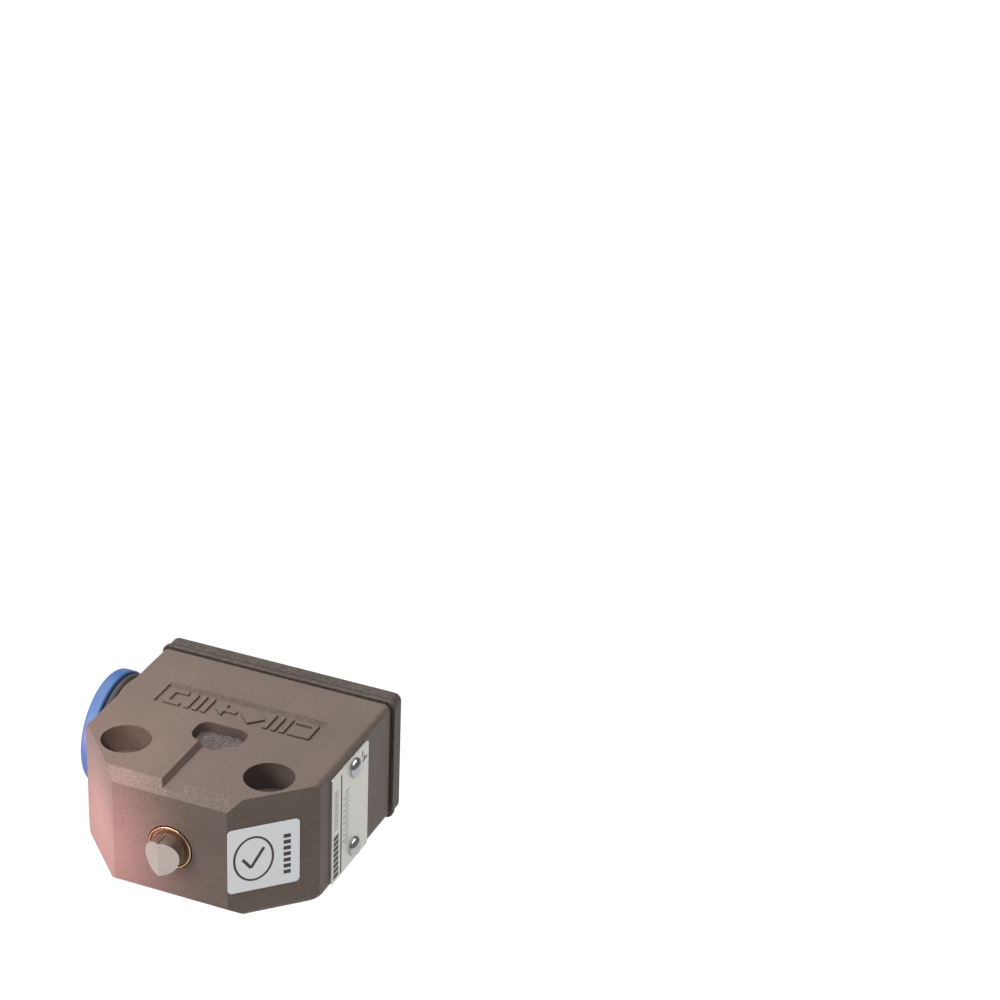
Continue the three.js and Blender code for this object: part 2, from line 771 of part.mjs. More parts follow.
function plateParts() {
  const face = halfWidth;
  const outline = polygon([
    [frontY + plateStart, plateEdge], [frontY + plateEnd, plateEdge],
    [frontY + plateEnd, bodyHeight - plateEdge], [frontY + plateStart, bodyHeight - plateEdge],
  ]);
  let plate = runningAcross(outline, face, face + plateThickness);
  const hole = rivetHole();
  const parts = [];
  for (const { name, z } of rivetPlaces) {
    plate = plate.subtract(hole.translate([0, 0, z]));
    const seat = face + plateThickness;
    const head = rivetHead / 2;
    const profile = [
      [0, face - rivetLength], [rivetShank, face - rivetLength], [rivetShank, seat], [head, seat],
      [head * 0.92, seat + rivetRise * 0.43], [head * 0.62, seat + rivetRise * 0.81],
      [0, seat + rivetRise],
    ];
    const shape = solid(turned(profile, 20).rotateZ(-Math.PI / 2).translate(0, rivetY, z));
    parts.push(piece(`plate_rivet_${name}`, shape, zinc));
  }
  return [piece('rating_plate', plate, plateMetal), ...parts];
}

// The film label lies on the right front chamfer, which faces half-way between +X and -Y.
function label() {
  const half = labelSide / 2;
  const outline = evenly([-half, -half], [half, half], labelCorner);
  const film = runningBack(outline, -labelThickness, 0);
  const node = piece('inspection_label', film, labelFilm);
  const along = half * Math.SQRT1_2;
  const lift = labelGap * Math.SQRT1_2;
  node.rotation.z = Math.PI / 4;
  node.position.set(
    halfWidth - cornerChamfer + along + lift,
    frontY + along - lift,
    axisZ,
  );
  return node;
}

// ---------------------------------------------------------------- cable entry plug

function plugParts() {
  const flangeIn = plugFlangeX;
  const flangeOut = flangeIn + plugFlangeThickness;
  const rim = plugFlangeDiameter / 2;
  const neck = entryBoreDiameter / 2 - fitClearance;
  const inner = neck - plugWall;
  const neckEnd = flangeIn - plugNeckLength;
  const recess = rim - plugRim;
  const floor = flangeOut - plugRecess;
  const profile = [
    [inner, neckEnd], [neck - 0.5, neckEnd], [neck, neckEnd + 0.8], [neck, flangeIn],
    [rim - 0.3, flangeIn], [rim, flangeIn + 0.3], [rim, flangeOut - 0.6], [rim - 0.6, flangeOut],
    [recess, flangeOut], [recess - 0.3, floor], [0, floor],
    [0, floor - plugWall], [inner, floor - plugWall],
  ];
  let plug = turnedX(profile, entryY, axisZ, 40);
  const bar = box(
    [-flangeOut + 0.2, entryY - recess + 1.2, axisZ - plugGrip / 2],
    [-floor + 0.3, entryY + recess - 1.2, axisZ + plugGrip / 2],
  );
  plug = plug.add(bar);
  const sealInner = neck + sealGap;
  const sealOuter = rim - sealOverhang;
  const seal = turnedX([
    [sealInner, sealX], [sealOuter, sealX], [sealOuter, sealX + sealThickness],
    [sealInner, sealX + sealThickness],
  ], entryY, axisZ, 40);
  return [piece('entry_plug', plug, bluePlastic), piece('entry_seal_ring', seal, rubber)];
}

// ---------------------------------------------------------------- assembly

const limitSwitch = new THREE.Group();
limitSwitch.name = 'limit_switch';
limitSwitch.add(
  housing(),
  ...guideParts(),
  ...plungerGroup(),
  ...elementParts(),
  ...coverParts(),
  ...plateParts(),
  label(),
  ...plugParts(),
);

export default limitSwitch;
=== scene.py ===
# %% [markdown]
# # Dressing a limit switch for its picture
#
# A limit switch tells a machine that something has arrived: a cam pushes a steel plunger, and
# contacts inside a die-cast block change over. The frame loaded here holds every solid of the
# switch at its true size. This lesson gives the visible pieces their fine shapes, their
# finishes and their light. Each step first says what the real thing is.

# %% Load the frame
import math

import bmesh
import bpy
from mathutils import Matrix, Vector


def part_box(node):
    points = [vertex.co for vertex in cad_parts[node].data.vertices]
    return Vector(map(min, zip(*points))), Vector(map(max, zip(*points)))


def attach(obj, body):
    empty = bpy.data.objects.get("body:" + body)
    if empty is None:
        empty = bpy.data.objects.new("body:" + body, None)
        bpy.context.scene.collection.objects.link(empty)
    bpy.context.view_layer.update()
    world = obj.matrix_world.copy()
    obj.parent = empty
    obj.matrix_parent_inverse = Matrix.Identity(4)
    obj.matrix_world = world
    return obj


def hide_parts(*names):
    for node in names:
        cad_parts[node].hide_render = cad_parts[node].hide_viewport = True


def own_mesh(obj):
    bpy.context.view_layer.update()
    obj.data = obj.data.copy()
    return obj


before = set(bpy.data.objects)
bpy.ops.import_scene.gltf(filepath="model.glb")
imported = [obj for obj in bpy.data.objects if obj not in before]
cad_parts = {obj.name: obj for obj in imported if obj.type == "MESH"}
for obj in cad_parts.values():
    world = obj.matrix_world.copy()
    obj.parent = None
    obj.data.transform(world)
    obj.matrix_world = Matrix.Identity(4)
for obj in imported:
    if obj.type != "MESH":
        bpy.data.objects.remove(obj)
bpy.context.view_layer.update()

MM = 0.001
print("nodes in the frame:", len(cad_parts))

# %% [markdown]
# ## The camera
#
# A long lens from the right, a little above, flattens the block the way a catalogue picture
# does. A camera looks along its own -Z, so its turn is built from three directions: right, up
# and back. The camera comes first because every later choice is judged through it.

# %% Set the camera
camera_data = bpy.data.cameras.new("picture_camera")
camera_data.lens = 108.23
camera_data.sensor_width = 36
camera = bpy.data.objects.new("picture_camera", camera_data)
bpy.context.scene.collection.objects.link(camera)
camera_right = Vector((0.92103, 0.38787, 0.03546)).normalized()
camera_back = Vector((0.32746, -0.82044, 0.46867)).normalized()
camera_up = camera_back.cross(camera_right)
turn = Matrix((camera_right, camera_up, camera_back)).transposed().to_4x4()
camera.matrix_world = Matrix.Translation((0.255304, -0.473151, 0.377841)) @ turn
camera_data.clip_start = 0.01
bpy.context.scene.camera = camera
print("camera stands", round(camera.location.length, 3), "m away")

# %% [markdown]
# ## Sizes
#
# The block's own box comes from the frame. The round entry boss stands out on the left, so the
# block's half width is read on the plain right side. Smaller sizes, such as a chamfer or a
# counterbore, can't be read off a box, so they are listed once here.

# %% Read the sizes
block_low, block_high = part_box("housing")
half_width = block_high.x
front, rear = block_low.y, block_high.y
top = block_high.z
axis_z = top / 2
corner_leg = 14.5 * MM
bevel_back = 2.4 * MM
bevel_down = 2.5 * MM
foot_bevel_back = 3.9 * MM
foot_bevel_down = 3.1 * MM
foot_radius = 2.4 * MM
foot_corner = 5.5 * MM
top_radius = 1.5 * MM
side_wall = 3.2 * MM
plate_wall = 3.0 * MM
hole_x = 17.0 * MM
hole_radius = 3.25 * MM
seat_radius = 5.5 * MM
seat_depth = 6.4 * MM
margin = 1 * MM  # how far a cutting tool runs past a face
print("block is", [round(v / MM, 1) for v in (2 * half_width, rear - front, top)], "mm")

# %% [markdown]
# ## A small mesh workshop
#
# Machined and cast parts are outlines pushed along a line or profiles turned about an axis,
# then cut into each other or joined. Small helpers do that. One more eases the edges, because
# no real edge is perfectly sharp, and the last one smooths the shading. Every mesh is made in
# the frame's own place, so patterns measured in metres run on from piece to piece.


# %% Make a mesh object
def new_piece(name, mesh):
    piece = bpy.data.objects.new(name, mesh)
    bpy.context.scene.collection.objects.link(piece)
    return piece


def from_bmesh(name, work):
    bmesh.ops.recalc_face_normals(work, faces=work.faces)
    mesh = bpy.data.meshes.new(name)
    work.to_mesh(mesh)
    work.free()
    return new_piece(name, mesh)


# %% Push an outline along a direction
def along_x(a, b, t):
    return (t, a, b)


def along_y(a, b, t):
    return (a, t, b)


def along_z(a, b, t):
    return (a, b, t)


def add_loft(work, rings):
    """Closes a row of rings, each a list of points, into one solid."""
    rows = [[work.verts.new(point) for point in ring] for ring in rings]
    work.faces.new(rows[0])
    work.faces.new(rows[-1])
    count = len(rows[0])
    for low, high in zip(rows, rows[1:]):
        for i in range(count):
            j = (i + 1) % count
            work.faces.new((low[i], low[j], high[j], high[i]))


def pushed(name, outlines, start, end, place):
    """Every outline becomes a prism from start to end; place puts a point where it belongs."""
    work = bmesh.new()
    for outline in outlines:
        add_loft(work, [[place(a, b, t) for a, b in outline] for t in (start, end)])
    return from_bmesh(name, work)


# %% Outlines
def arc(centre, radius, first, last, steps):
    angles = [math.radians(first + (last - first) * i / steps) for i in range(steps + 1)]
    return [(centre[0] + radius * math.cos(a), centre[1] + radius * math.sin(a)) for a in angles]


def rectangle(low, high):
    return [low, (high[0], low[1]), high, (low[0], high[1])]


def rounded_outline(low, high, radii, steps=8):
    lower_left, lower_right, upper_right, upper_left = radii
    (a0, b0), (a1, b1) = low, high
    corners = [
        ((a0 + lower_left, b0 + lower_left), lower_left, 180),
        ((a1 - lower_right, b0 + lower_right), lower_right, 270),
        ((a1 - upper_right, b1 - upper_right), upper_right, 0),
        ((a0 + upper_left, b1 - upper_left), upper_left, 90),
    ]
    points = []
    for centre, radius, first in corners:
        points += arc(centre, radius, first, first + 90, steps)
    return points


def evenly_rounded(low, high, radius):
    return rounded_outline(low, high, (radius,) * 4)


# %% Turn a profile about a line
def turned(name, profile, centre, place, steps=96):
    """profile is a list of (radius, distance along the line); it closes on itself."""
    work = bmesh.new()
    columns = []
    for radius, t in profile:
        if radius < 1e-9:
            columns.append([work.verts.new(place(0, 0, t))] * steps)
            continue
        circle = arc((0, 0), radius, 0, 360, steps)[:-1]
        columns.append([work.verts.new(place(a, b, t)) for a, b in circle])
    for low, high in zip(columns, columns[1:] + columns[:1]):
        for i in range(steps):
            j = (i + 1) % steps
            corners = list(dict.fromkeys((low[i], low[j], high[j], high[i])))
            if len(corners) > 2:
                work.faces.new(corners)
    bmesh.ops.translate(work, verts=work.verts, vec=centre)
    return from_bmesh(name, work)


def disc(name, radius, start, end, centre, place, steps=96):
    profile = [(0, start), (radius, start), (radius, end), (0, end)]
    return turned(name, profile, centre, place, steps)


# %% Cut, join and ease
def settle(piece):
    """Keeps what the modifiers made and drops the modifiers."""
    depsgraph = bpy.context.evaluated_depsgraph_get()
    made = bpy.data.meshes.new_from_object(piece.evaluated_get(depsgraph))
    piece.modifiers.clear()
    piece.data = made
    return piece


def combine(piece, tool, operation):
    step = piece.modifiers.new(operation, "BOOLEAN")
    step.operation = operation
    step.solver = "EXACT"
    step.object = tool
    settle(piece)
    bpy.data.objects.remove(tool)
    return piece


def cut(piece, tool):
    return combine(piece, tool, "DIFFERENCE")


def join(piece, tool):
    return combine(piece, tool, "UNION")


def clean(piece):
    work = bmesh.new()
    work.from_mesh(piece.data)
    bmesh.ops.remove_doubles(work, verts=work.verts, dist=0.004 * MM)
    bmesh.ops.dissolve_limit(
        work, angle_limit=math.radians(0.5), verts=work.verts, edges=work.edges
    )
    work.to_mesh(piece.data)
    work.free()
    return piece


def ease(piece, width, segments=2, angle=28):
    clean(piece)
    step = piece.modifiers.new("eased_edges", "BEVEL")
    step.width = width
    step.segments = segments
    step.limit_method = "ANGLE"
    step.angle_limit = math.radians(angle)
    step.miter_outer = "MITER_ARC"
    return settle(piece)


def smooth(piece, angle=35):
    piece.data.polygons.foreach_set("use_smooth", [True] * len(piece.data.polygons))
    piece.data.set_sharp_from_angle(angle=math.radians(angle))
    step = piece.modifiers.new("even_normals", "WEIGHTED_NORMAL")
    step.keep_sharp = True
    step.weight = 80
    return settle(piece)


# %% [markdown]
# ## A small shader workshop
#
# A finish is a formula: a little noise makes a colour uneven, another makes the surface rough.
# To write such formulas as ordinary Python, one small class wraps an output socket and turns
# +, - and * into Math nodes. Any other node comes from a single method that takes the node's
# kind, its settings and its inputs. Numbers that are the same all over a surface are set
# straight on the surface shader.


# %% Shader formulas
class Value:
    """An output socket that can be used in sums."""

    def __init__(self, finish, socket):
        self.finish = finish
        self.socket = socket

    def maths(self, operation, *others):
        inputs = dict(enumerate(others))
        return self.finish.node("Math", {"operation": operation}, inputs)

    def __add__(self, other):
        return self.maths("ADD", self, other)

    def __sub__(self, other):
        return self.maths("SUBTRACT", self, other)

    def __rsub__(self, other):
        return self.maths("SUBTRACT", other, self)

    def __mul__(self, other):
        return self.maths("MULTIPLY", self, other)

    __radd__ = __add__
    __rmul__ = __mul__


class Finish:
    """A material and the nodes that make it."""

    def __init__(self, name):
        self.material = bpy.data.materials.new(name)
        self.material.use_nodes = True
        self.tree = self.material.node_tree
        self.tree.nodes.clear()
        self.place = self.node("TexCoord", out="Object")

    def node(self, kind, settings=None, inputs=None, out=0):
        made = self.tree.nodes.new("ShaderNode" + kind)
        for key, setting in (settings or {}).items():
            if key == "stops":
                self.set_stops(made.color_ramp, setting)
            else:
                setattr(made, key, setting)
        for key, value in (inputs or {}).items():
            if isinstance(value, Value):
                self.tree.links.new(value.socket, made.inputs[key])
            else:
                made.inputs[key].default_value = value
        return Value(self, made.outputs[out]) if made.outputs else None

    def set_stops(self, ramp, stops):
        while len(ramp.elements) < len(stops):
            ramp.elements.new(0.5)
        for element, (position, colour) in zip(ramp.elements, stops):
            element.position = position
            element.color = (*colour, 1)

    def noise(self, size, detail=3.0, roughness=0.55, place=None):
        """Soft noise whose blobs are about size metres across, from 0 to 1."""
        inputs = {
            "Vector": place or self.place,
            "Scale": 1 / size,
            "Detail": detail,
            "Roughness": roughness,
        }
        return self.node("TexNoise", inputs=inputs)

    def grains(self, size):
        """Distance from the middle of scattered grains about size metres apart."""
        return self.node("TexVoronoi", inputs={"Vector": self.place, "Scale": 1 / size})

    def stretched(self, scale):
        """The place, squeezed or stretched along each axis."""
        settings = {"operation": "MULTIPLY"}
        return self.node("VectorMath", settings, {0: self.place, 1: scale})

    def blend(self, factor, first, second):
        def colour(value):
            return value if isinstance(value, Value) else (*value, 1)

        inputs = {0: factor, 6: colour(first), 7: colour(second)}
        return self.node("Mix", {"data_type": "RGBA"}, inputs, out=2)

    def ramp(self, factor, stops):
        return self.node("ValToRGB", {"stops": stops}, {0: factor})

    def bump(self, height, depth, strength=1.0):
        inputs = {"Height": height, "Distance": depth, "Strength": strength}
        return self.node("Bump", inputs=inputs)

    def shade(self, varying, constant=None):
        shader = self.node("BsdfPrincipled", inputs={**(constant or {}), **varying})
        self.node("OutputMaterial", inputs={"Surface": shader})
        return self.material


# %% Colours
def colour(red, green, blue):
    """Screen colour, 0 to 255, as the light values that shaders use."""

    def light(level):
        level /= 255
        return level / 12.92 if level <= 0.04045 else ((level + 0.055) / 1.055) ** 2.4

    return tuple(light(level) for level in (red, green, blue))


# %% [markdown]
# ## Coated castings
#
# The block and its cover are die-cast aluminium under a thin brown coating. Seen close, the
# coating is satin and very finely grained, with a slow drift in tone where the casting cooled
# unevenly. Two noises do that: a broad faint one in the colour and a fine one in the height.
# A third one scatters tiny pale flecks over the grain: painted glints where light catches it.
# The front bevels, the cover and the slope behind the marks were left rougher, so they use the
# same formula with a coarser grain and a stronger blotch; the slope's darker tone is painted
# shade in the recess.

# %% Coated casting
# Ramp for the pale flecks that are painted glints on the grain.
GLINT_STOPS = [(0.54, (0, 0, 0)), (0.7, (1, 1, 1))]


def coated_casting(name, tone, dark_tone, grain, depth, gloss, blotch=0.0, glint_share=0.25):
    finish = Finish(name)
    drift = finish.noise(14 * MM, detail=2)
    speckle = finish.noise(grain, detail=4, roughness=0.65)
    patches = finish.noise(1.3 * MM, detail=5, roughness=0.7)
    mix = drift * 0.5 + (speckle - 0.5) * 1.9 + 0.25
    if blotch:
        mix = mix + (patches - 0.5) * blotch
    base = finish.blend(mix, dark_tone, tone)
    # Pale flecks over the grain, painted glints; the next two lines mix them into the colour.
    pale = tuple(1.7 * level for level in tone)
    glint_flecks = finish.ramp(finish.noise(grain * 0.8, detail=2), GLINT_STOPS)
    base = finish.blend(glint_flecks * glint_share, base, pale)
    height = speckle + finish.grains(grain * 1.7) * 0.35 + patches * blotch * 1.5
    normal = finish.bump(height, depth, 0.6)
    sheen = gloss + speckle * 0.14 - drift * 0.05
    varying = {"Base Color": base, "Roughness": sheen, "Normal": normal}
    return finish.shade(varying, {"Metallic": 0.1, "Specular IOR Level": 0.22})


block_finish = coated_casting(
    "coated_casting", colour(101, 88, 80), colour(76, 67, 61), 0.4 * MM, 0.045 * MM, 0.46
)
rough_finish = coated_casting(
    "coated_rough_skin", colour(109, 97, 89), colour(70, 62, 56), 0.42 * MM, 0.28 * MM, 0.44,
    glint_share=0.3,
)
# The slope behind the marks: a mottled skin, with a darker tone that is painted shade in the recess.
shaded_strip_finish = coated_casting(
    "coated_skin_and_shade", colour(98, 86, 77), colour(58, 50, 44), 0.36 * MM, 0.2 * MM, 0.44,
    blotch=1.0,
)
cover_finish = coated_casting(
    "coated_cover", colour(84, 75, 69), colour(46, 41, 37), 0.42 * MM, 0.2 * MM, 0.42,
    blotch=1.3, glint_share=0.4,
)
print("coated finishes:", len(bpy.data.materials))

# %% [markdown]
# ## Metals
#
# Ground, turned and plated metals all mirror their surroundings and differ in how the tool left
# its lines. The place is squeezed along one direction before it reaches the noise, which draws
# the noise out into streaks: that is how grinding lines are made without a picture. The same
# recipe with little streaking and a warm colour gives brass and bronze.


# %% Worked metal
def worked_metal(name, tone, dark_tone, gloss, streaks):
    """streaks scales the place along x, y and z; a small number makes long lines that way."""
    finish = Finish(name)
    lines = finish.noise(0.25 * MM, detail=3, place=finish.stretched(streaks))
    clouds = finish.noise(3 * MM, detail=3)
    base = finish.blend(lines * 0.5 + clouds * 0.5, dark_tone, tone)
    roughness = gloss + lines * 0.16 + clouds * 0.08
    normal = finish.bump(lines, 0.004 * MM, 0.5)
    varying = {"Base Color": base, "Roughness": roughness, "Normal": normal}
    return finish.shade(varying, {"Metallic": 1.0})


ALONG_Y = (1, 0.03, 1)
ALONG_Z = (1, 1, 0.05)
EVENLY = (1, 1, 1)
worked_metals = {
    name: worked_metal(name, tone, dark_tone, gloss, streaks)
    for name, tone, dark_tone, gloss, streaks in (
        # The plunger's steel carries a pink tint: painted reflection of the red glow.
        ("ground_steel_red_glow", colour(196, 184, 178), colour(158, 145, 138), 0.2, ALONG_Y),
        ("rivet_metal", colour(186, 186, 190), colour(150, 150, 154), 0.06, EVENLY),
        ("plate_metal", colour(198, 197, 190), colour(182, 181, 174), 0.3, ALONG_Z),
        ("bronze", colour(232, 205, 150), colour(190, 154, 100), 0.14, EVENLY),
        ("brass", colour(226, 199, 128), colour(190, 160, 92), 0.22, EVENLY),
        ("zinc_bright", colour(214, 217, 222), colour(168, 172, 180), 0.24, EVENLY),
        ("steel", colour(196, 192, 190), colour(150, 147, 146), 0.26, EVENLY),
    )
}
print("metals done, materials:", len(bpy.data.materials))

# %% [markdown]
# The keeper is pressed from metal powder, so it is all grain: grey, rough and full of glints. A
# fine noise and small scattered cells drive both its colour and its height.


# %% Pressed metal powder
def pressed_powder():
    finish = Finish("sintered_grey")
    grit = finish.noise(0.24 * MM, detail=5, roughness=0.75)
    cells = finish.grains(0.3 * MM)
    base = finish.ramp(
        grit * 0.75 + cells * 0.25,
        [(0.34, colour(40, 36, 33)), (0.5, colour(82, 75, 70)), (0.66, colour(146, 138, 132))],
    )
    normal = finish.bump(grit + cells * 0.5, 0.35 * MM, 1.0)
    varying = {"Base Color": base, "Roughness": 0.4 + cells * 0.25, "Normal": normal}
    return finish.shade(varying, {"Metallic": 0.45})


powder_finish = pressed_powder()

# %% [markdown]
# ## Plastics, rubber, film and ink
#
# A moulded plastic is even in colour and only slightly uneven in gloss, with a faint orange-peel
# skin. Rubber is the same formula, dark and dull. The label's film has a clear glossy top, which
# is a coat. Ink is nearly black and lies so thin that only its colour matters.


# %% Moulded plastic
def moulded(name, tone, dark_tone, gloss, skin=0.012 * MM, coat=0.0):
    finish = Finish(name)
    clouds = finish.noise(4 * MM, detail=3)
    peel = finish.noise(0.6 * MM, detail=3)
    dust = finish.noise(0.15 * MM, detail=3)
    base = finish.blend(clouds * 0.6 + dust * 0.4, dark_tone, tone)
    roughness = gloss + peel * 0.12 + dust * 0.06
    varying = {"Base Color": base, "Roughness": roughness, "Normal": finish.bump(peel, skin, 0.5)}
    return finish.shade(varying, {"Coat Weight": coat, "Coat Roughness": 0.12})


blue_plastic = moulded("plastic_blue", colour(48, 82, 130), colour(40, 72, 118), 0.4)
dark_thermoset = moulded("thermoset_dark", colour(44, 44, 46), colour(30, 30, 32), 0.42)
ivory_plastic = moulded("lid_ivory", colour(214, 204, 182), colour(198, 187, 164), 0.4)
# The wiper is black rubber; its red-brown colour is painted red glow reflected in the bush mouth.
wiper_rubber_red_glow = moulded("wiper_rubber_red_glow", colour(118, 84, 72), colour(92, 64, 54), 0.5, 0.02 * MM)
black_rubber = moulded("rubber_black", colour(48, 45, 44), colour(30, 28, 27), 0.6, 0.03 * MM)
label_film = moulded("label_film", colour(210, 212, 214), colour(202, 204, 206), 0.34, coat=0.25)
ink = moulded("printing_ink", colour(58, 54, 50), colour(44, 40, 37), 0.5, 0.004 * MM)
pale_ink = moulded("pale_ink", colour(172, 172, 166), colour(150, 150, 144), 0.45, 0.004 * MM)
print("materials ready:", len(bpy.data.materials))

# %% [markdown]
# ## The block
#
# The real block is cast, then drilled. It could be modelled face by face, but a casting is
# easier to think of as what several outlines have in common: its plan, its side and its end.
# The plan is lofted from inset copies of itself, which rounds the foot of the block all round;
# the corner between a chamfer and a side is rounder the lower it gets, as cast corners are.
# The side puts the bevels on the front, and the end rounds the two long upper edges.


# %% Plan of the block, inset for the round foot
def block_plan(inset, corner):
    """The block from above, moved inwards by inset, with side corners of radius corner.

    The chamfer turns by 45 degrees into the side, so each corner is an eighth of a circle that
    starts this far along either line. The outline runs on behind the rear face.
    """
    half, fore, beyond = half_width - inset, front + inset, rear + 5 * MM
    leg = corner_leg - inset * (2 - math.sqrt(2))
    run_in = corner * math.tan(math.radians(22.5))
    bend = arc((half - corner, fore + leg + run_in), corner, -45, 0, 8)
    mirrored = [(-a, b) for a, b in reversed(bend)]
    fore_edge = [(-half + leg, fore), (half - leg, fore)]
    return [*fore_edge, *bend, (half, beyond), (-half, beyond), *mirrored]


# %% Outer form
def outer_block():
    rings = []
    for step in range(9):
        level = foot_corner * step / 8
        sunk = max(0, 1 - level / foot_radius)
        inset = foot_radius * (1 - math.sqrt(1 - sunk * sunk))
        corner = 0.4 * MM + foot_corner * (1 - math.sin(math.pi / 2 * step / 8))
        rings.append([along_z(a, b, level) for a, b in block_plan(inset, corner)])
    rings.append([along_z(a, b, top + margin) for a, b in block_plan(0, 0.4 * MM)])
    work = bmesh.new()
    add_loft(work, rings)
    block = from_bmesh("block", work)
    side = [
        (front + foot_bevel_back, -margin), (rear, -margin), (rear, top),
        (front + bevel_back, top), (front, top - bevel_down), (front, foot_bevel_down),
        (front + foot_bevel_back, 0),
    ]
    radii = (0.2 * MM, 0.2 * MM, top_radius, top_radius)
    end = rounded_outline((-half_width, -margin), (half_width, top), radii)
    wide = half_width + margin
    combine(block, pushed("side", [side], -wide, wide, along_x), "INTERSECT")
    combine(block, pushed("end", [end], front - margin, rear + margin, along_y), "INTERSECT")
    return block


block = outer_block()
print("outer block has", len(block.data.polygons), "faces")

# %% [markdown]
# The boss round the cable entry is a low round pad that the gland's seal is pressed against.
# Its bore runs through the wall into the chamber, where the wires are. The chamber keeps a
# pillar in each corner for the cover's screws and a thick part round the plunger's bush.

# %% Boss, chamber and entry bore
plug_low, plug_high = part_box("entry_plug")
entry_y = (plug_low.y + plug_high.y) / 2
entry_centre = (0, entry_y, axis_z)
boss_face = block_low.x
boss_radius = 12.25 * MM
entry_radius = 9.4 * MM
chamber_half = half_width - side_wall
chamber_front = seat_radius + side_wall
pillar = 6.5 * MM
keeper_low, keeper_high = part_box("bush_keeper")


def chamber_outline(grow=0.0):
    a, low, high = chamber_half - grow, plate_wall + grow, top - plate_wall - grow
    return [
        (-a + pillar, low), (a - pillar, low), (a, low + pillar), (a, high - pillar),
        (a - pillar, high), (-a + pillar, high), (-a, high - pillar), (-a, low + pillar),
    ]


def chamber_tool():
    tool = pushed("chamber", [chamber_outline()], chamber_front, rear + margin, along_y)
    half = keeper_high.x + 3.25 * MM
    boss_end = keeper_high.y + 2.45 * MM
    outline = rectangle((-half, chamber_front - margin), (half, boss_end))
    return cut(tool, pushed("bush_boss", [outline], 0, top, along_z))


boss = [(0, -half_width + side_wall), (boss_radius, -half_width + side_wall),
        (boss_radius, boss_face), (0, boss_face)]
join(block, turned("boss", boss, entry_centre, along_x))
cut(block, chamber_tool())
entry_end = plug_high.x + margin
cut(block, disc("entry", entry_radius, boss_face - margin, entry_end, entry_centre, along_x))
print("block with chamber:", len(block.data.polygons), "faces")

# %% [markdown]
# Each mounting hole is drilled right through and sunk from above, so the head of the
# socket screw disappears in the block. The pocket takes the keeper that holds the plunger's
# bush, and a shallow channel with sloping sides lets coolant run out of it to the front.

# %% Screw seats, pocket and channel
for side in (-1, 1):
    centre = (side * hole_x, 0, 0)
    cut(block, disc("hole", hole_radius, -margin, top + margin, centre, along_z, 64))
    cut(block, disc("seat", seat_radius, top - seat_depth, top + margin, centre, along_z))


def pocket_outline(grow):
    low = (keeper_low.x - grow, keeper_low.y - grow)
    high = (keeper_high.x + grow, keeper_high.y + grow)
    wide, tight = 3.15 * MM + grow, 2.35 * MM + grow
    return rounded_outline(low, high, (wide, wide, tight, tight), 12)


keeper_gap = 0.25 * MM
bush_gap = 0.1 * MM
bush_bore_end = 17 * MM
rim_depth = 0.8 * MM
channel_depth = 1.45 * MM
channel_floor = 2.1 * MM
channel_top = 2.9 * MM
slope = (channel_top - channel_floor) / channel_depth
channel = [
    (-channel_floor, top - channel_depth), (channel_floor, top - channel_depth),
    (channel_top + slope * margin, top + margin), (-channel_top - slope * margin, top + margin),
]
cut(block, pushed("channel", [channel], front - margin, keeper_low.y + 2 * MM, along_y))
cut(block, pushed("pocket", [pocket_outline(keeper_gap)], keeper_low.z, top + margin, along_z))
bush_radius = 5.0 * MM
bore = (0, 0, axis_z)
bore_radius = bush_radius + bush_gap
cut(block, disc("bush_bore", bore_radius, front - margin, bush_bore_end, bore, along_y))
rim_radius = bush_radius + 0.25 * MM
cut(block, disc("bush_rim", rim_radius, front - margin, front + rim_depth, bore, along_y))
ease(block, 0.36 * MM, 3)

# %% [markdown]
# A shallow recess behind the pocket holds the cast marks. Its rear side slopes up to the top
# face. It is cut after the easing, because it is hardly deeper than the rounding of the edges.

# %% Recess for the marks
recess_depth = 0.5 * MM
recess_left, recess_right = -19.3 * MM, 18.9 * MM
recess_near, recess_far, recess_rear = 16.2 * MM, 23.2 * MM, 24.7 * MM
recess_slope = (recess_rear - recess_far) / recess_depth
recess_floor = top - recess_depth
recess = [
    (recess_near, top + margin), (recess_near, recess_floor), (recess_far, recess_floor),
    (recess_rear + recess_slope * margin, top + margin),
]
cut(block, pushed("recess", [recess], recess_left, recess_right, along_x))
smooth(block)
print("finished block:", len(block.data.polygons), "faces")


# %% Give the rough faces their own finish
def is_rough(face):
    """The sloping strips along the front edges keep the coarse skin of the mould."""
    slanted = face.normal.y < -0.5 and 0.5 < abs(face.normal.z) < 0.9
    return slanted and face.center.y < front + bevel_back and abs(face.center.x) < half_width


def is_recess_slope(face):
    """The sloping rear side of the recess, whose darker finish is painted shade."""
    tilted = face.normal.y < -0.2 and face.normal.z > 0.9
    return tilted and recess_far < face.center.y < recess_rear


def finished(piece, body, finish, slot, *nodes):
    """Gives a piece its finish and its body, and hides the CAD nodes it stands for."""
    if finish:
        piece.data.materials.clear()
        piece.data.materials.append(finish)
    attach(piece, body)
    if nodes:
        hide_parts(*nodes)
    return piece


block.data.materials.clear()
block.data.materials.append(block_finish)
block.data.materials.append(rough_finish)
block.data.materials.append(shaded_strip_finish)
# Material 2, the darker one with painted shade, goes on the recess slope.
for face in block.data.polygons:
    face.material_index = 2 if is_recess_slope(face) else int(is_rough(face))
finished(block, "block", None, "coated_casting", "housing")
print("rough faces:", sum(face.material_index for face in block.data.polygons))

# %% [markdown]
# ## Raised marks on the top
#
# Such a block carries cast marks on its top. These ones say nothing: a row of brackets, bars,
# an arrow and a diamond. They rise from the floor of the recess to the level of the top, in
# the same coating, and only their small shadows show. Each mark is an outline pushed upwards.

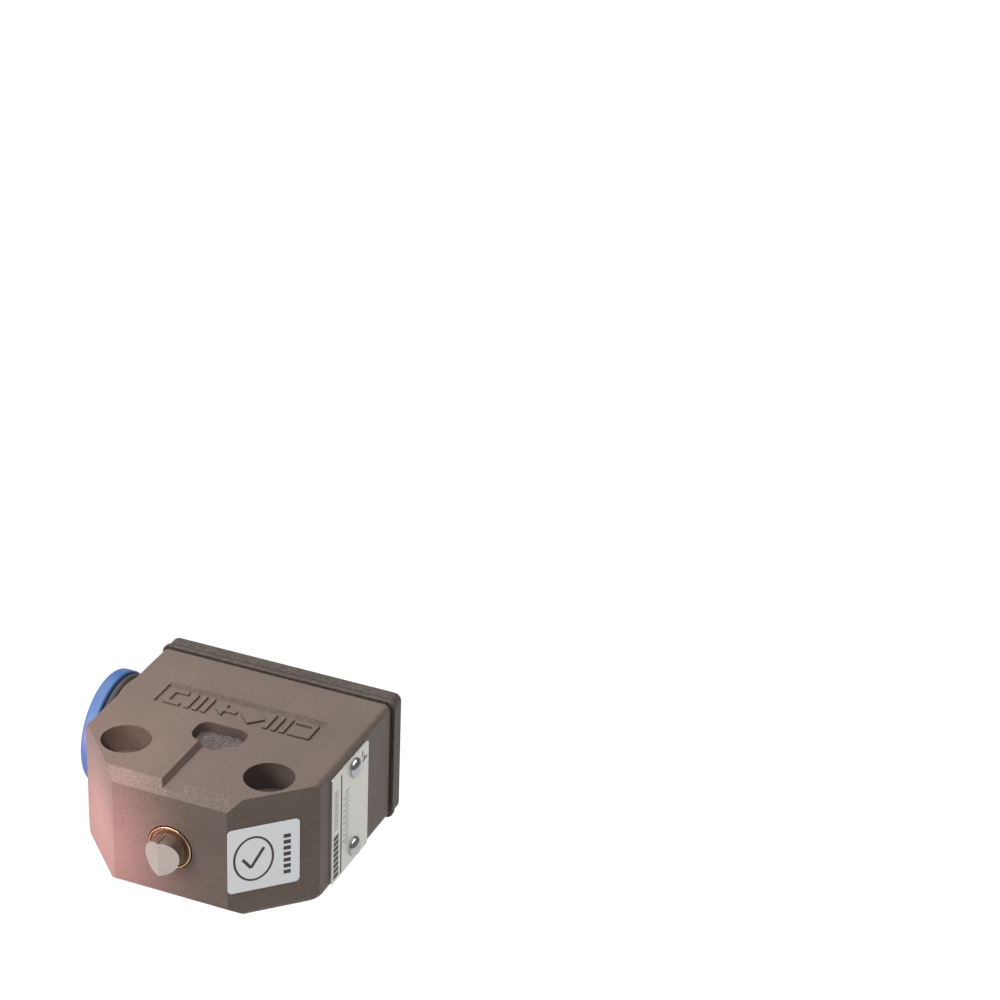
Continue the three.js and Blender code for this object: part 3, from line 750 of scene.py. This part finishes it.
# %% Marks as outlines
mark_stroke, bar_pitch = 1.15 * MM, 2.0 * MM
mark_near, mark_far = 16.9 * MM, 22.7 * MM
mark_root, mark_top = top - 0.6 * MM, top + 0.04 * MM


def bracket_mark(x, end):
    """A square bracket with its back at x and its arms reaching to end."""
    back = x + math.copysign(mark_stroke, end - x)
    low, high = mark_near + mark_stroke, mark_far - mark_stroke
    return [[
        (x, mark_near), (end, mark_near), (end, low), (back, low),
        (back, high), (end, high), (end, mark_far), (x, mark_far),
    ]]


def bars_mark(x):
    starts = [x + step * bar_pitch for step in range(3)]
    return [rectangle((a, mark_near), (a + mark_stroke, mark_far)) for a in starts]


def arrow_mark(x):
    middle, barb = (mark_near + mark_far) / 2, x + 2.6 * MM
    shaft, half, tail = mark_stroke / 2, 2.3 * MM, x + 5.4 * MM
    upper = [(barb, middle + half), (barb, middle + shaft), (tail, middle + shaft)]
    lower = [(a, 2 * middle - b) for a, b in reversed(upper)]
    return [[(x, middle), *upper, *lower]]


def diamond_mark(x):
    middle = (mark_near + mark_far) / 2
    half = (mark_far - mark_near) / 2
    return [[(x, middle), (x + half, mark_near), (x + 2 * half, middle), (x + half, mark_far)]]


mark_outlines = bracket_mark(-17.6 * MM, -13.6 * MM) + bars_mark(-12.4 * MM)
mark_outlines += arrow_mark(-6.2 * MM) + diamond_mark(0.2 * MM) + bars_mark(6.6 * MM)
mark_outlines += bracket_mark(17.8 * MM, 12.6 * MM)
marks = pushed("raised_marks", mark_outlines, mark_root, mark_top, along_z)
ease(marks, 0.12 * MM, 2)
finished(smooth(marks), "block", block_finish, "coated_casting")
print("raised marks:", len(mark_outlines), "outlines")

# %% [markdown]
# ## Plunger and bush
#
# The plunger is an 8 mm ground steel rod whose end is ground to a roof, so that a cam meets a
# straight ridge. It is a turned rod, and the roof is what it has in common with a pushed wedge.
# The bush is turned bronze; its bright lip stands just proud of the face.

# %% Plunger
plunger_low, plunger_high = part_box("plunger")
plunger_radius = plunger_high.x
shoulder = front + 17 * MM
stem_radius = 1.8 * MM
roof_rise = 1.9 * MM
wiper_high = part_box("scraper_ring")[1]
pin_low, pin_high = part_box("guide_pin")


def make_plunger():
    tip, end = plunger_low.y, plunger_high.y
    profile = [
        (0, tip), (plunger_radius, tip), (plunger_radius, shoulder), (stem_radius, shoulder),
        (stem_radius, end - 0.4 * MM), (stem_radius - 0.4 * MM, end), (0, end),
    ]
    rod = turned("plunger", profile, bore, along_y, 128)
    wide = plunger_radius + margin
    side_y = tip + roof_rise * wide / plunger_radius
    roof = [(0, tip), (wide, side_y), (wide, end + margin), (-wide, end + margin), (-wide, side_y)]
    low, high = axis_z - wide, axis_z + wide
    combine(rod, pushed("roof", [roof], low, high, along_z), "INTERSECT")
    pin_radius = (pin_high.z - pin_low.z) / 2
    pin_centre = (0, (pin_low.y + pin_high.y) / 2, axis_z)
    cut(rod, disc("pin_hole", pin_radius + 0.02 * MM, -wide, wide, pin_centre, along_x, 32))
    ease(rod, 0.14 * MM, 3, 20)
    return smooth(rod, 30)


finished(make_plunger(), "plunger", worked_metals["ground_steel_red_glow"], "steel", "plunger")
print("plunger stands proud by", round((front - plunger_low.y) / MM, 2), "mm")

# %% Guide bush
bush_low, bush_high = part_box("guide_bush")


def make_bush():
    inner = plunger_radius + 0.08 * MM
    mouth = wiper_high.x + 0.02 * MM
    flange, flange_front = bush_high.x, bush_high.y - margin
    lip = bush_radius - mouth
    lip_round = arc((mouth + lip / 2, bush_low.y + lip / 2), lip / 2, 180, 360, 10)
    profile = lip_round + [
        (bush_radius, flange_front), (flange, flange_front), (flange, bush_high.y),
        (inner, bush_high.y), (inner, wiper_high.y), (mouth, wiper_high.y),
    ]
    made = turned("guide_bush", profile, bore, along_y, 128)
    slot_half = (pin_high.z - pin_low.z) / 2 + 0.1 * MM
    slot_end = pin_high.y + 4.8 * MM
    low, high = axis_z - slot_half, axis_z + slot_half
    slot = rectangle((pin_low.y - 0.1 * MM, low), (slot_end, high))
    cut(made, pushed("pin_slot", [slot], -bush_high.x, bush_high.x, along_x))
    notch = rectangle((keeper_low.y - 0.2 * MM, keeper_low.z), (keeper_high.y + 0.2 * MM, top))
    cut(made, pushed("keeper_notch", [notch], -bush_high.x, bush_high.x, along_x))
    return smooth(clean(made), 40)


finished(make_bush(), "block", worked_metals["bronze"], "bronze", "guide_bush")
print("bush lip proud by", round((front - bush_low.y) / MM, 2), "mm")

# %% [markdown]
# ## Keeper
#
# The keeper drops into the pocket and holds the bush by its flat. It is pressed powder metal,
# so its edges are soft and its top is not quite flat. The top face is divided into a fine net
# whose points are lifted by a smooth noise, which is what catches the light unevenly.

# %% Keeper with an uneven top
from mathutils import noise

net_size, lump_size, lump_height = 0.35 * MM, 1.1 * MM, 0.16 * MM


def make_keeper():
    outline = pocket_outline(0)
    made = pushed("bush_keeper", [outline], keeper_low.z, keeper_high.z, along_z)
    ease(made, 0.35 * MM, 3)
    work = bmesh.new()
    work.from_mesh(made.data)
    bmesh.ops.triangulate(work, faces=[f for f in work.faces if f.normal.z > 0.9])
    for _ in range(4):
        upper = [e for e in work.edges if min(v.co.z for v in e.verts) > keeper_high.z - 0.4 * MM]
        long_edges = [e for e in upper if e.calc_length() > net_size]
        bmesh.ops.subdivide_edges(work, edges=long_edges, cuts=1, use_grid_fill=True)
        bmesh.ops.triangulate(work, faces=[f for f in work.faces if len(f.verts) > 4])
    for vert in work.verts:
        if vert.co.z > keeper_high.z - 0.05 * MM:
            vert.co.z += (noise.noise(vert.co / lump_size) - 0.6) * lump_height
    work.to_mesh(made.data)
    work.free()
    return smooth(made, 50)


keeper = finished(make_keeper(), "block", powder_finish, "sintered_grey", "bush_keeper")
print("keeper has", len(keeper.data.polygons), "faces")

# %% [markdown]
# ## Cover, gasket and screws
#
# The cover is cast in two steps: a thin wide flange that presses on the gasket, and a slab
# behind it with well rounded edges. Each step is a rounded outline pushed backwards; the slab's
# edges are eased before the two are joined. Four sunk screws hold it on the block's pillars.

# %% Cover
cover_low, cover_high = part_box("cover")
gasket_low, gasket_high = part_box("cover_gasket")
flange_end = gasket_high.y + 1.25 * MM
screw_places = ("lower_left", "lower_right", "upper_left", "upper_right")
screw_boxes = {f"cover_screw_{place}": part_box(f"cover_screw_{place}") for place in screw_places}
screw_head_height = 2.2 * MM
screw_hole_radius, screw_sink_radius = 1.6 * MM, 2.95 * MM


def middle_of(box):
    return (box[0] + box[1]) / 2


def groove_tool(half):
    """A shallow groove all round, where the slab meets the flange."""
    start, end = flange_end, flange_end + 0.22 * MM
    far = half + 2 * MM
    tool = pushed("groove", [rectangle((-far, -2 * MM), (far, top + 2 * MM))], start, end, along_y)
    core_half, core_low = half - 0.2 * MM, 0.35 * MM
    core = evenly_rounded((-core_half, core_low), (core_half, cover_high.z - core_low), 1.6 * MM)
    return cut(tool, pushed("core", [core], start - margin, end + margin, along_y))


def make_cover():
    flange_outline = evenly_rounded((cover_low.x, 0), (cover_high.x, cover_high.z), 1.8 * MM)
    flange = pushed("cover", [flange_outline], gasket_high.y, flange_end, along_y)
    ease(flange, 0.22 * MM, 3)
    half, step = cover_high.x - 0.4 * MM, 0.15 * MM
    slab_outline = evenly_rounded((-half, step), (half, cover_high.z - step), 1.8 * MM)
    slab = pushed("slab", [slab_outline], flange_end - 1.1 * MM, cover_high.y, along_y)
    ease(slab, 1.0 * MM, 6, 40)
    join(flange, slab)
    cut(flange, groove_tool(half))
    spigot = [chamber_outline(0.3 * MM)]
    join(flange, pushed("spigot", spigot, cover_low.y, gasket_high.y + 0.5 * MM, along_y))
    for box in screw_boxes.values():
        centre = middle_of(box)
        place = (centre.x, 0, centre.z)
        seat, end = box[1].y - screw_head_height, cover_high.y + margin
        hole = (screw_hole_radius, cover_low.y - margin, cover_high.y)
        cut(flange, disc("screw_hole", *hole, place, along_y, 32))
        cut(flange, disc("sink", screw_sink_radius, seat, end, place, along_y, 64))
    return smooth(clean(flange), 40)


finished(make_cover(), "block", cover_finish, "coated_cover", "cover")
print("cover is", round((cover_high.y - gasket_high.y) / MM, 2), "mm thick")


# %% Gasket
def make_gasket():
    low, high = (gasket_low.x, gasket_low.z), (gasket_high.x, gasket_high.z)
    sheet = pushed(
        "cover_gasket", [evenly_rounded(low, high, 1.4 * MM)], gasket_low.y, gasket_high.y, along_y
    )
    opening = chamber_outline(0)
    cut(sheet, pushed("opening", [opening], gasket_low.y - margin, gasket_high.y + margin, along_y))
    for box in screw_boxes.values():
        centre = middle_of(box)
        place = (centre.x, 0, centre.z)
        span = (gasket_low.y - margin, gasket_high.y + margin)
        cut(sheet, disc("screw_hole", screw_hole_radius, *span, place, along_y, 32))
    ease(sheet, 0.15 * MM, 2)
    return smooth(sheet)


finished(make_gasket(), "block", black_rubber, "rubber_black", "cover_gasket")


# %% Socket-head screws
def hexagon(centre, across_flats):
    return arc(centre, across_flats / math.sqrt(3), 0, 300, 5)


def make_cover_screw(name, box):
    centre = middle_of(box)
    head_end = box[1].y
    seat = head_end - screw_head_height
    head, shank, edge = 2.75 * MM, 1.5 * MM, 0.35 * MM
    crown = arc((head - edge, head_end - edge), edge, 0, 90, 6)
    profile = [
        (0, box[0].y), (shank - 0.3 * MM, box[0].y), (shank, box[0].y + 0.3 * MM),
        (shank, seat), (head, seat), *crown, (0, head_end),
    ]
    made = turned(name + "_turned", profile, (centre.x, 0, centre.z), along_y, 48)
    socket = hexagon((centre.x, centre.z), 2.5 * MM)
    cut(made, pushed("socket", [socket], head_end - 1.3 * MM, head_end + margin, along_y))
    return smooth(clean(made), 35)


for name, box in screw_boxes.items():
    finished(make_cover_screw(name, box), "block", worked_metals["zinc_bright"], "zinc_bright", name)
print("cover screws:", len(screw_boxes))

# %% [markdown]
# ## Rating plate
#
# A stamped aluminium plate tells the user what the contacts do. Its print here is plain: a
# heavy rule, blocks and dashes that stand for lines of writing, and a small contact diagram.
# The print is made as shapes a few hundredths of a millimetre high, which stay crisp at any
# distance, where a painted mask would need many more nodes.

# %% Plate
plate_low, plate_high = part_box("rating_plate")
rivet_boxes = {name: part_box(name) for name in ("plate_rivet_lower", "plate_rivet_upper")}
rivet_hole_radius = 0.9 * MM
print_height, stamping_height = 0.02 * MM, 0.03 * MM


def make_plate():
    low, high = (plate_low.y, plate_low.z), (plate_high.y, plate_high.z)
    outline = evenly_rounded(low, high, 0.5 * MM)
    plate = pushed("rating_plate", [outline], plate_low.x, plate_high.x, along_x)
    for box in rivet_boxes.values():
        centre = middle_of(box)
        span = (plate_low.x - margin, plate_high.x + margin)
        place = (0, centre.y, centre.z)
        cut(plate, disc("rivet_hole", rivet_hole_radius, *span, place, along_x, 32))
    ease(plate, 0.12 * MM, 3)
    return smooth(plate)


finished(make_plate(), "block", worked_metals["plate_metal"], "plate_metal", "rating_plate")
print("plate is", [round((plate_high - plate_low)[i] / MM, 1) for i in range(3)], "mm")


# %% Print on the plate
def upright_bars(column_start, column_end, spans):
    """Bars across a column of the plate, one for each (start, end) height in millimetres."""
    start, end = column_start * MM, column_end * MM
    return [rectangle((start, low * MM), (end, high * MM)) for low, high in spans]


def evenly_spaced(first, last, count, share):
    pitch = (last - first) / count
    return [(first + i * pitch, first + (i + share) * pitch) for i in range(count)]


def printed_on_plate(name, shapes, height, finish):
    """Shapes that start just inside the plate and end at that height off its face."""
    face = plate_high.x
    made = pushed(name, shapes, face - 0.01 * MM, face + height, along_x)
    return finished(made, "block", finish, "plate_metal")


plate_rule = upright_bars(10.95, 11.5, [(2.1, 27.2)])
heavy_blocks = upright_bars(7.6, 9.9, evenly_spaced(2.5, 13.6, 8, 0.76))
printed_on_plate("plate_print", plate_rule + heavy_blocks, print_height, ink)
fine_dashes = upright_bars(8.0, 9.6, evenly_spaced(14.8, 25.0, 12, 0.5))
stamped_dots = upright_bars(13.2, 14.9, evenly_spaced(8.4, 22.4, 14, 0.36))
stamped_dots += upright_bars(12.3, 12.95, evenly_spaced(9.2, 21.6, 8, 0.3))
printed_on_plate("plate_stamping", fine_dashes + stamped_dots, stamping_height, pale_ink)
print("printed shapes:", len(plate_rule + heavy_blocks + fine_dashes + stamped_dots))


# %% Contact diagram on the plate
def stroke(start, end, width):
    """A straight line of that width between two points."""
    (a0, b0), (a1, b1) = start, end
    length = math.hypot(a1 - a0, b1 - b0)
    da, db = (b1 - b0) / length * width / 2, -(a1 - a0) / length * width / 2
    return [(a0 + da, b0 + db), (a1 + da, b1 + db), (a1 - da, b1 - db), (a0 - da, b0 - db)]


def contact_diagram(y, z):
    """Two fixed contacts and a slanting bridge between them."""
    width = 0.42 * MM
    return [
        stroke((y, z), (y, z + 1.5 * MM), width),
        stroke((y, z + 1.5 * MM), (y + 1.3 * MM, z + 3.0 * MM), width),
        stroke((y, z + 3.1 * MM), (y, z + 4.6 * MM), width),
        stroke((y + 0.6 * MM, z + 2.2 * MM), (y + 2.4 * MM, z + 2.2 * MM), width),
    ]


printed_on_plate("plate_diagram", contact_diagram(21.6 * MM, 22.6 * MM), print_height, ink)


# %% Domed rivets
def make_rivet(name, box):
    centre = middle_of(box)
    head_radius = (box[1].z - box[0].z) / 2
    rise = box[1].x - plate_high.x
    steps = 14
    dome = []
    for i in range(steps + 1):
        angle = math.radians(90 * i / steps)
        dome.append((head_radius * math.cos(angle), plate_high.x + rise * math.sin(angle)))
    dome[-1] = (0, plate_high.x + rise)
    shank = 0.8 * MM
    profile = [(0, box[0].x), (shank, box[0].x), (shank, plate_high.x), *dome]
    return smooth(turned(name + "_turned", profile, (0, centre.y, centre.z), along_x, 64), 40)


for name, box in rivet_boxes.items():
    finished(make_rivet(name, box), "block", worked_metals["rivet_metal"], "plate_metal", name)
print("rivets:", len(rivet_boxes))

# %% [markdown]
# ## Label on the corner
#
# A small film label sits on the right front chamfer. The chamfer leans at 45 degrees, so a
# placing function turns a distance along the chamfer, a height and a lift off the face into a
# point. The label carries a ring with a tick, the plain sign of an inspection, and short bars.

# %% Label film
label_low, label_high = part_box("inspection_label")
label_side = label_high.z - label_low.z
half_root = math.sqrt(0.5)
label_start = Vector((half_width - corner_leg, front, 0))
film_lift = 0.05 * MM
film_top = 0.2 * MM


def on_chamfer(a, b, t):
    """a runs along the chamfer from its front edge, b upwards and t off the face."""
    place = label_start + Vector((a + t, a - t, 0)) * half_root
    return (place.x, place.y, b)


outline = evenly_rounded((0, label_low.z), (label_side, label_high.z), 1.0 * MM)
label = pushed("inspection_label", [outline], film_lift, film_top, on_chamfer)
ease(label, 0.05 * MM, 2)
finished(smooth(label), "block", label_film, "label_film", "inspection_label")


# %% Ring, tick and bars on the label
def ring_strokes(centre, radii, width, steps=72):
    """A ring as short strokes, each as wide as the ring's line."""
    points = [
        (centre[0] + radii[0] * math.cos(a), centre[1] + radii[1] * math.sin(a))
        for a in (2 * math.pi * i / steps for i in range(steps + 1))
    ]
    return [stroke(p, q, width) for p, q in zip(points, points[1:])]


sign_centre = (5.7 * MM, axis_z)
sign = ring_strokes(sign_centre, (4.25 * MM, 5.34 * MM), 0.5 * MM)
corner = (sign_centre[0] - 0.6 * MM, axis_z - 2.2 * MM)
sign.append(stroke((corner[0] - 1.8 * MM, axis_z + 0.2 * MM), corner, 0.7 * MM))
sign.append(stroke(corner, (corner[0] + 2.9 * MM, axis_z + 2.4 * MM), 0.7 * MM))
for low, high in evenly_spaced(9.6, 20.2, 7, 0.62):
    sign.append(rectangle((12.3 * MM, low * MM), (13.9 * MM, high * MM)))
label_print = pushed("label_print", sign, film_top - 0.01 * MM, film_top + 0.015 * MM, on_chamfer)
finished(label_print, "block", ink, "label_film")
print("label shapes:", len(sign))

# %% [markdown]
# ## Entry plug
#
# The cable entry is closed for transport by a blue push-in plug: a flange with a rounded rim, a
# shallow dish with a bar to grip, and a hollow neck that holds by friction. A black ring under
# the flange keeps dust out. Both are turned; the bar is a rounded block joined across the dish.

# %% Plug
flange_thickness = 3 * MM
flange_face = plug_low.x
flange_back = flange_face + flange_thickness
dish_depth = 0.9 * MM
plug_radius = (plug_high.z - plug_low.z) / 2
dish_radius = plug_radius - 3.6 * MM


def make_plug():
    neck, wall = entry_radius - 0.1 * MM, 1.4 * MM
    floor = flange_face + dish_depth
    rim_edge, edge = 0.7 * MM, 0.25 * MM
    outer = arc((plug_radius - rim_edge, flange_face + rim_edge), rim_edge, 270, 360, 8)
    inner = arc((dish_radius + edge, flange_face + edge), edge, 180, 270, 5)
    profile = [
        (0, floor), (dish_radius - 0.3 * MM, floor), *inner, *outer,
        (plug_radius, flange_back - 0.3 * MM), (plug_radius - 0.3 * MM, flange_back),
        (neck, flange_back), (neck, plug_high.x - 0.8 * MM), (neck - 0.5 * MM, plug_high.x),
        (neck - wall, plug_high.x), (neck - wall, floor + wall), (0, floor + wall),
    ]
    made = turned("entry_plug", profile, entry_centre, along_x, 128)
    reach, half = dish_radius - 1.2 * MM, 1.1 * MM
    low, high = (entry_y - reach, axis_z - half), (entry_y + reach, axis_z + half)
    grip = evenly_rounded(low, high, 0.6 * MM)
    bar = pushed("grip", [grip], flange_face + 0.2 * MM, floor + 0.3 * MM, along_x)
    ease(bar, 0.3 * MM, 3)
    return smooth(clean(join(made, bar)), 35)


finished(make_plug(), "entry_plug", blue_plastic, "plastic_blue", "entry_plug")
print("plug flange stands", round((block_low.x - flange_face) / MM, 2), "mm off the boss")

# %% Seal ring
ring_low, ring_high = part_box("entry_seal_ring")


def make_seal_ring():
    outer = (ring_high.z - ring_low.z) / 2
    inner = entry_radius - 0.05 * MM
    width = ring_high.x - ring_low.x
    bulge = arc((outer - width / 2, (ring_low.x + ring_high.x) / 2), width / 2, -90, 90, 12)
    profile = [(inner, ring_low.x), *bulge, (inner, ring_high.x)]
    return smooth(turned("entry_seal_ring", profile, entry_centre, along_x, 96), 40)


finished(make_seal_ring(), "entry_plug", black_rubber, "rubber_black", "entry_seal_ring")

# %% [markdown]
# ## Springs
#
# Two coil springs work inside: one returns the plunger, a small one presses the contact bridge.
# A coil is a small circle carried along a helix, with its end turns wound close so that they
# sit flat.


# %% Coil springs
STEPS_A_TURN = 32


def coil_advance(turn, turns, pitch, rise):
    """How far the wire has come after so many turns: the first and last turn are close."""
    middle = min(max(turn - 1, 0), turns - 2)
    return pitch * (min(turn, 1) + max(turn - turns + 1, 0)) + rise * middle


def make_coil(name, wire, turns):
    low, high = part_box(name)
    length, radius = high.y - low.y, (high.z - low.z) / 2 - wire
    pitch = 2.06 * wire
    rise = (length - 2 * wire - 2 * pitch) / (turns - 2)
    rings = []
    for step in range(int(turns * STEPS_A_TURN) + 1):
        turn = step / STEPS_A_TURN
        around = 2 * math.pi * turn
        along = low.y + wire + coil_advance(turn, turns, pitch, rise)
        section = [(radius + a, b) for a, b in arc((0, 0), wire, 0, 360, 12)[:-1]]
        rings.append([
            (a * math.cos(around), along + b, axis_z + a * math.sin(around)) for a, b in section
        ])
    work = bmesh.new()
    add_loft(work, rings)
    return smooth(from_bmesh(name + "_coil", work), 60)


springs = [
    ("return_spring", 0.4 * MM, 5.5, "plunger_slide", 4.5 * MM),
    ("contact_spring", 0.25 * MM, 5.5, "bridge_slide", 1.2 * MM),
]
for name, wire, turns, joint, travel in springs:
    low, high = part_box(name)
    coil = finished(make_coil(name, wire, turns), "block", worked_metals["steel"], "steel", name)
    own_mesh(coil)

# %% [markdown]
# ## The inner works
#
# Contacts, washers and the switching element keep their frame solids, because their
# shapes are already right. Each gets the finish of what it is made of, so that the inside looks
# as real as the outside when the switch is taken apart.

# %% Finishes for the inner pieces
frame_finishes = {
    worked_metals["steel"]: ("spring_seat", "retaining_ring", "guide_pin"),
    # The wiper's colour is painted red glow on black rubber.
    wiper_rubber_red_glow: ("scraper_ring",),
    black_rubber: ("stem_seal",),
    dark_thermoset: ("element_case",),
    ivory_plastic: ("element_lid", "tappet"),
    worked_metals["brass"]: ("contact_bridge", "contact_nc", "contact_no"),
    worked_metals["zinc_bright"]: (
        "clamp_washer", "terminal_screw", "element_screw", "earth_washer", "earth_screw",
    ),
}
dressed = 0
for finish, starts in frame_finishes.items():
    for name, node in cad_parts.items():
        if not name.startswith(starts):
            continue
        node.data.materials.clear()
        node.data.materials.append(finish)
        dressed += 1
print("inner pieces dressed:", dressed)

# %% [markdown]
# ## Floor and light
#
# The switch lies on a light table: a pale sheet that glows a little, so that shadows almost
# vanish. Most of the light comes from one large lamp overhead, which makes the top the brightest
# face; a weaker one fills the front. A red neighbour just outside the view throws its colour on
# the left front corner, so two small spots with soft edges stand there, one low and red, one
# higher and paler, which also reaches into the left screw hole.

# %% Floor
floor_mesh = bpy.data.meshes.new("floor")
reach, floor_z = 3.0, -0.05 * MM
sheet_corners = rectangle((-reach, -reach), (reach, reach))
floor_mesh.from_pydata([(a, b, floor_z) for a, b in sheet_corners], [], [(0, 1, 2, 3)])
floor = new_piece("floor", floor_mesh)
floor_finish = Finish("light_table")
cloud = floor_finish.noise(0.4)
floor_colour = floor_finish.blend(cloud, (0.02, 0.02, 0.02), (0.03, 0.03, 0.03))
floor_glow = floor_finish.blend(cloud, (0.97, 0.97, 0.97), (1, 1, 1))
floor_inputs = {"Base Color": floor_colour, "Emission Color": floor_glow}
floor.data.materials.append(
    floor_finish.shade(floor_inputs, {"Roughness": 0.9, "Emission Strength": 1.02})
)


# %% Lamps
def hang(name, light, place, aim):
    holder = bpy.data.objects.new(name, light)
    bpy.context.scene.collection.objects.link(holder)
    holder.location = place
    direction = Vector(aim) - Vector(place)
    holder.rotation_euler = direction.to_track_quat("-Z", "Y").to_euler()
    return holder


def soft_box(name, place, aim, width, depth, power):
    light = bpy.data.lights.new(name, "AREA")
    light.shape = "RECTANGLE"
    light.size = width
    light.size_y = depth
    light.energy = power
    return hang(name, light, place, aim)


def soft_spot(name, place, aim, cone, softness, power, tint):
    light = bpy.data.lights.new(name, "SPOT")
    light.spot_size = math.radians(cone)
    light.spot_blend = softness
    light.shadow_soft_size = 12 * MM
    light.energy = power
    light.color = tint
    return hang(name, light, place, aim)


middle = (0, 12 * MM, 15 * MM)
soft_box("overhead", (-0.16, 0.06, 0.92), middle, 1.3, 1.3, 19.8)
soft_box("front_fill", (-0.52, -0.7, 0.5), middle, 0.5, 0.4, 7.2)
glow_tint = (1.0, 0.5, 0.58)
low_corner, high_corner = (-23 * MM, -10 * MM, 9 * MM), (-21 * MM, -3 * MM, 27 * MM)
soft_spot("red_bounce", (-0.115, -0.185, 0.028), low_corner, 12.2, 0.7, 8.4, glow_tint)
haze_tint = (1.0, 0.7, 0.72)
soft_spot("haze", (0.02, -0.2, 0.19), high_corner, 11, 0.9, 3.6, haze_tint)
world = bpy.data.worlds.new("surround")
world.use_nodes = True
world.node_tree.nodes["Background"].inputs["Color"].default_value = (1, 1, 1, 1)
world.node_tree.nodes["Background"].inputs["Strength"].default_value = 0.25
bpy.context.scene.world = world
bpy.context.scene.view_settings.view_transform = "Standard"
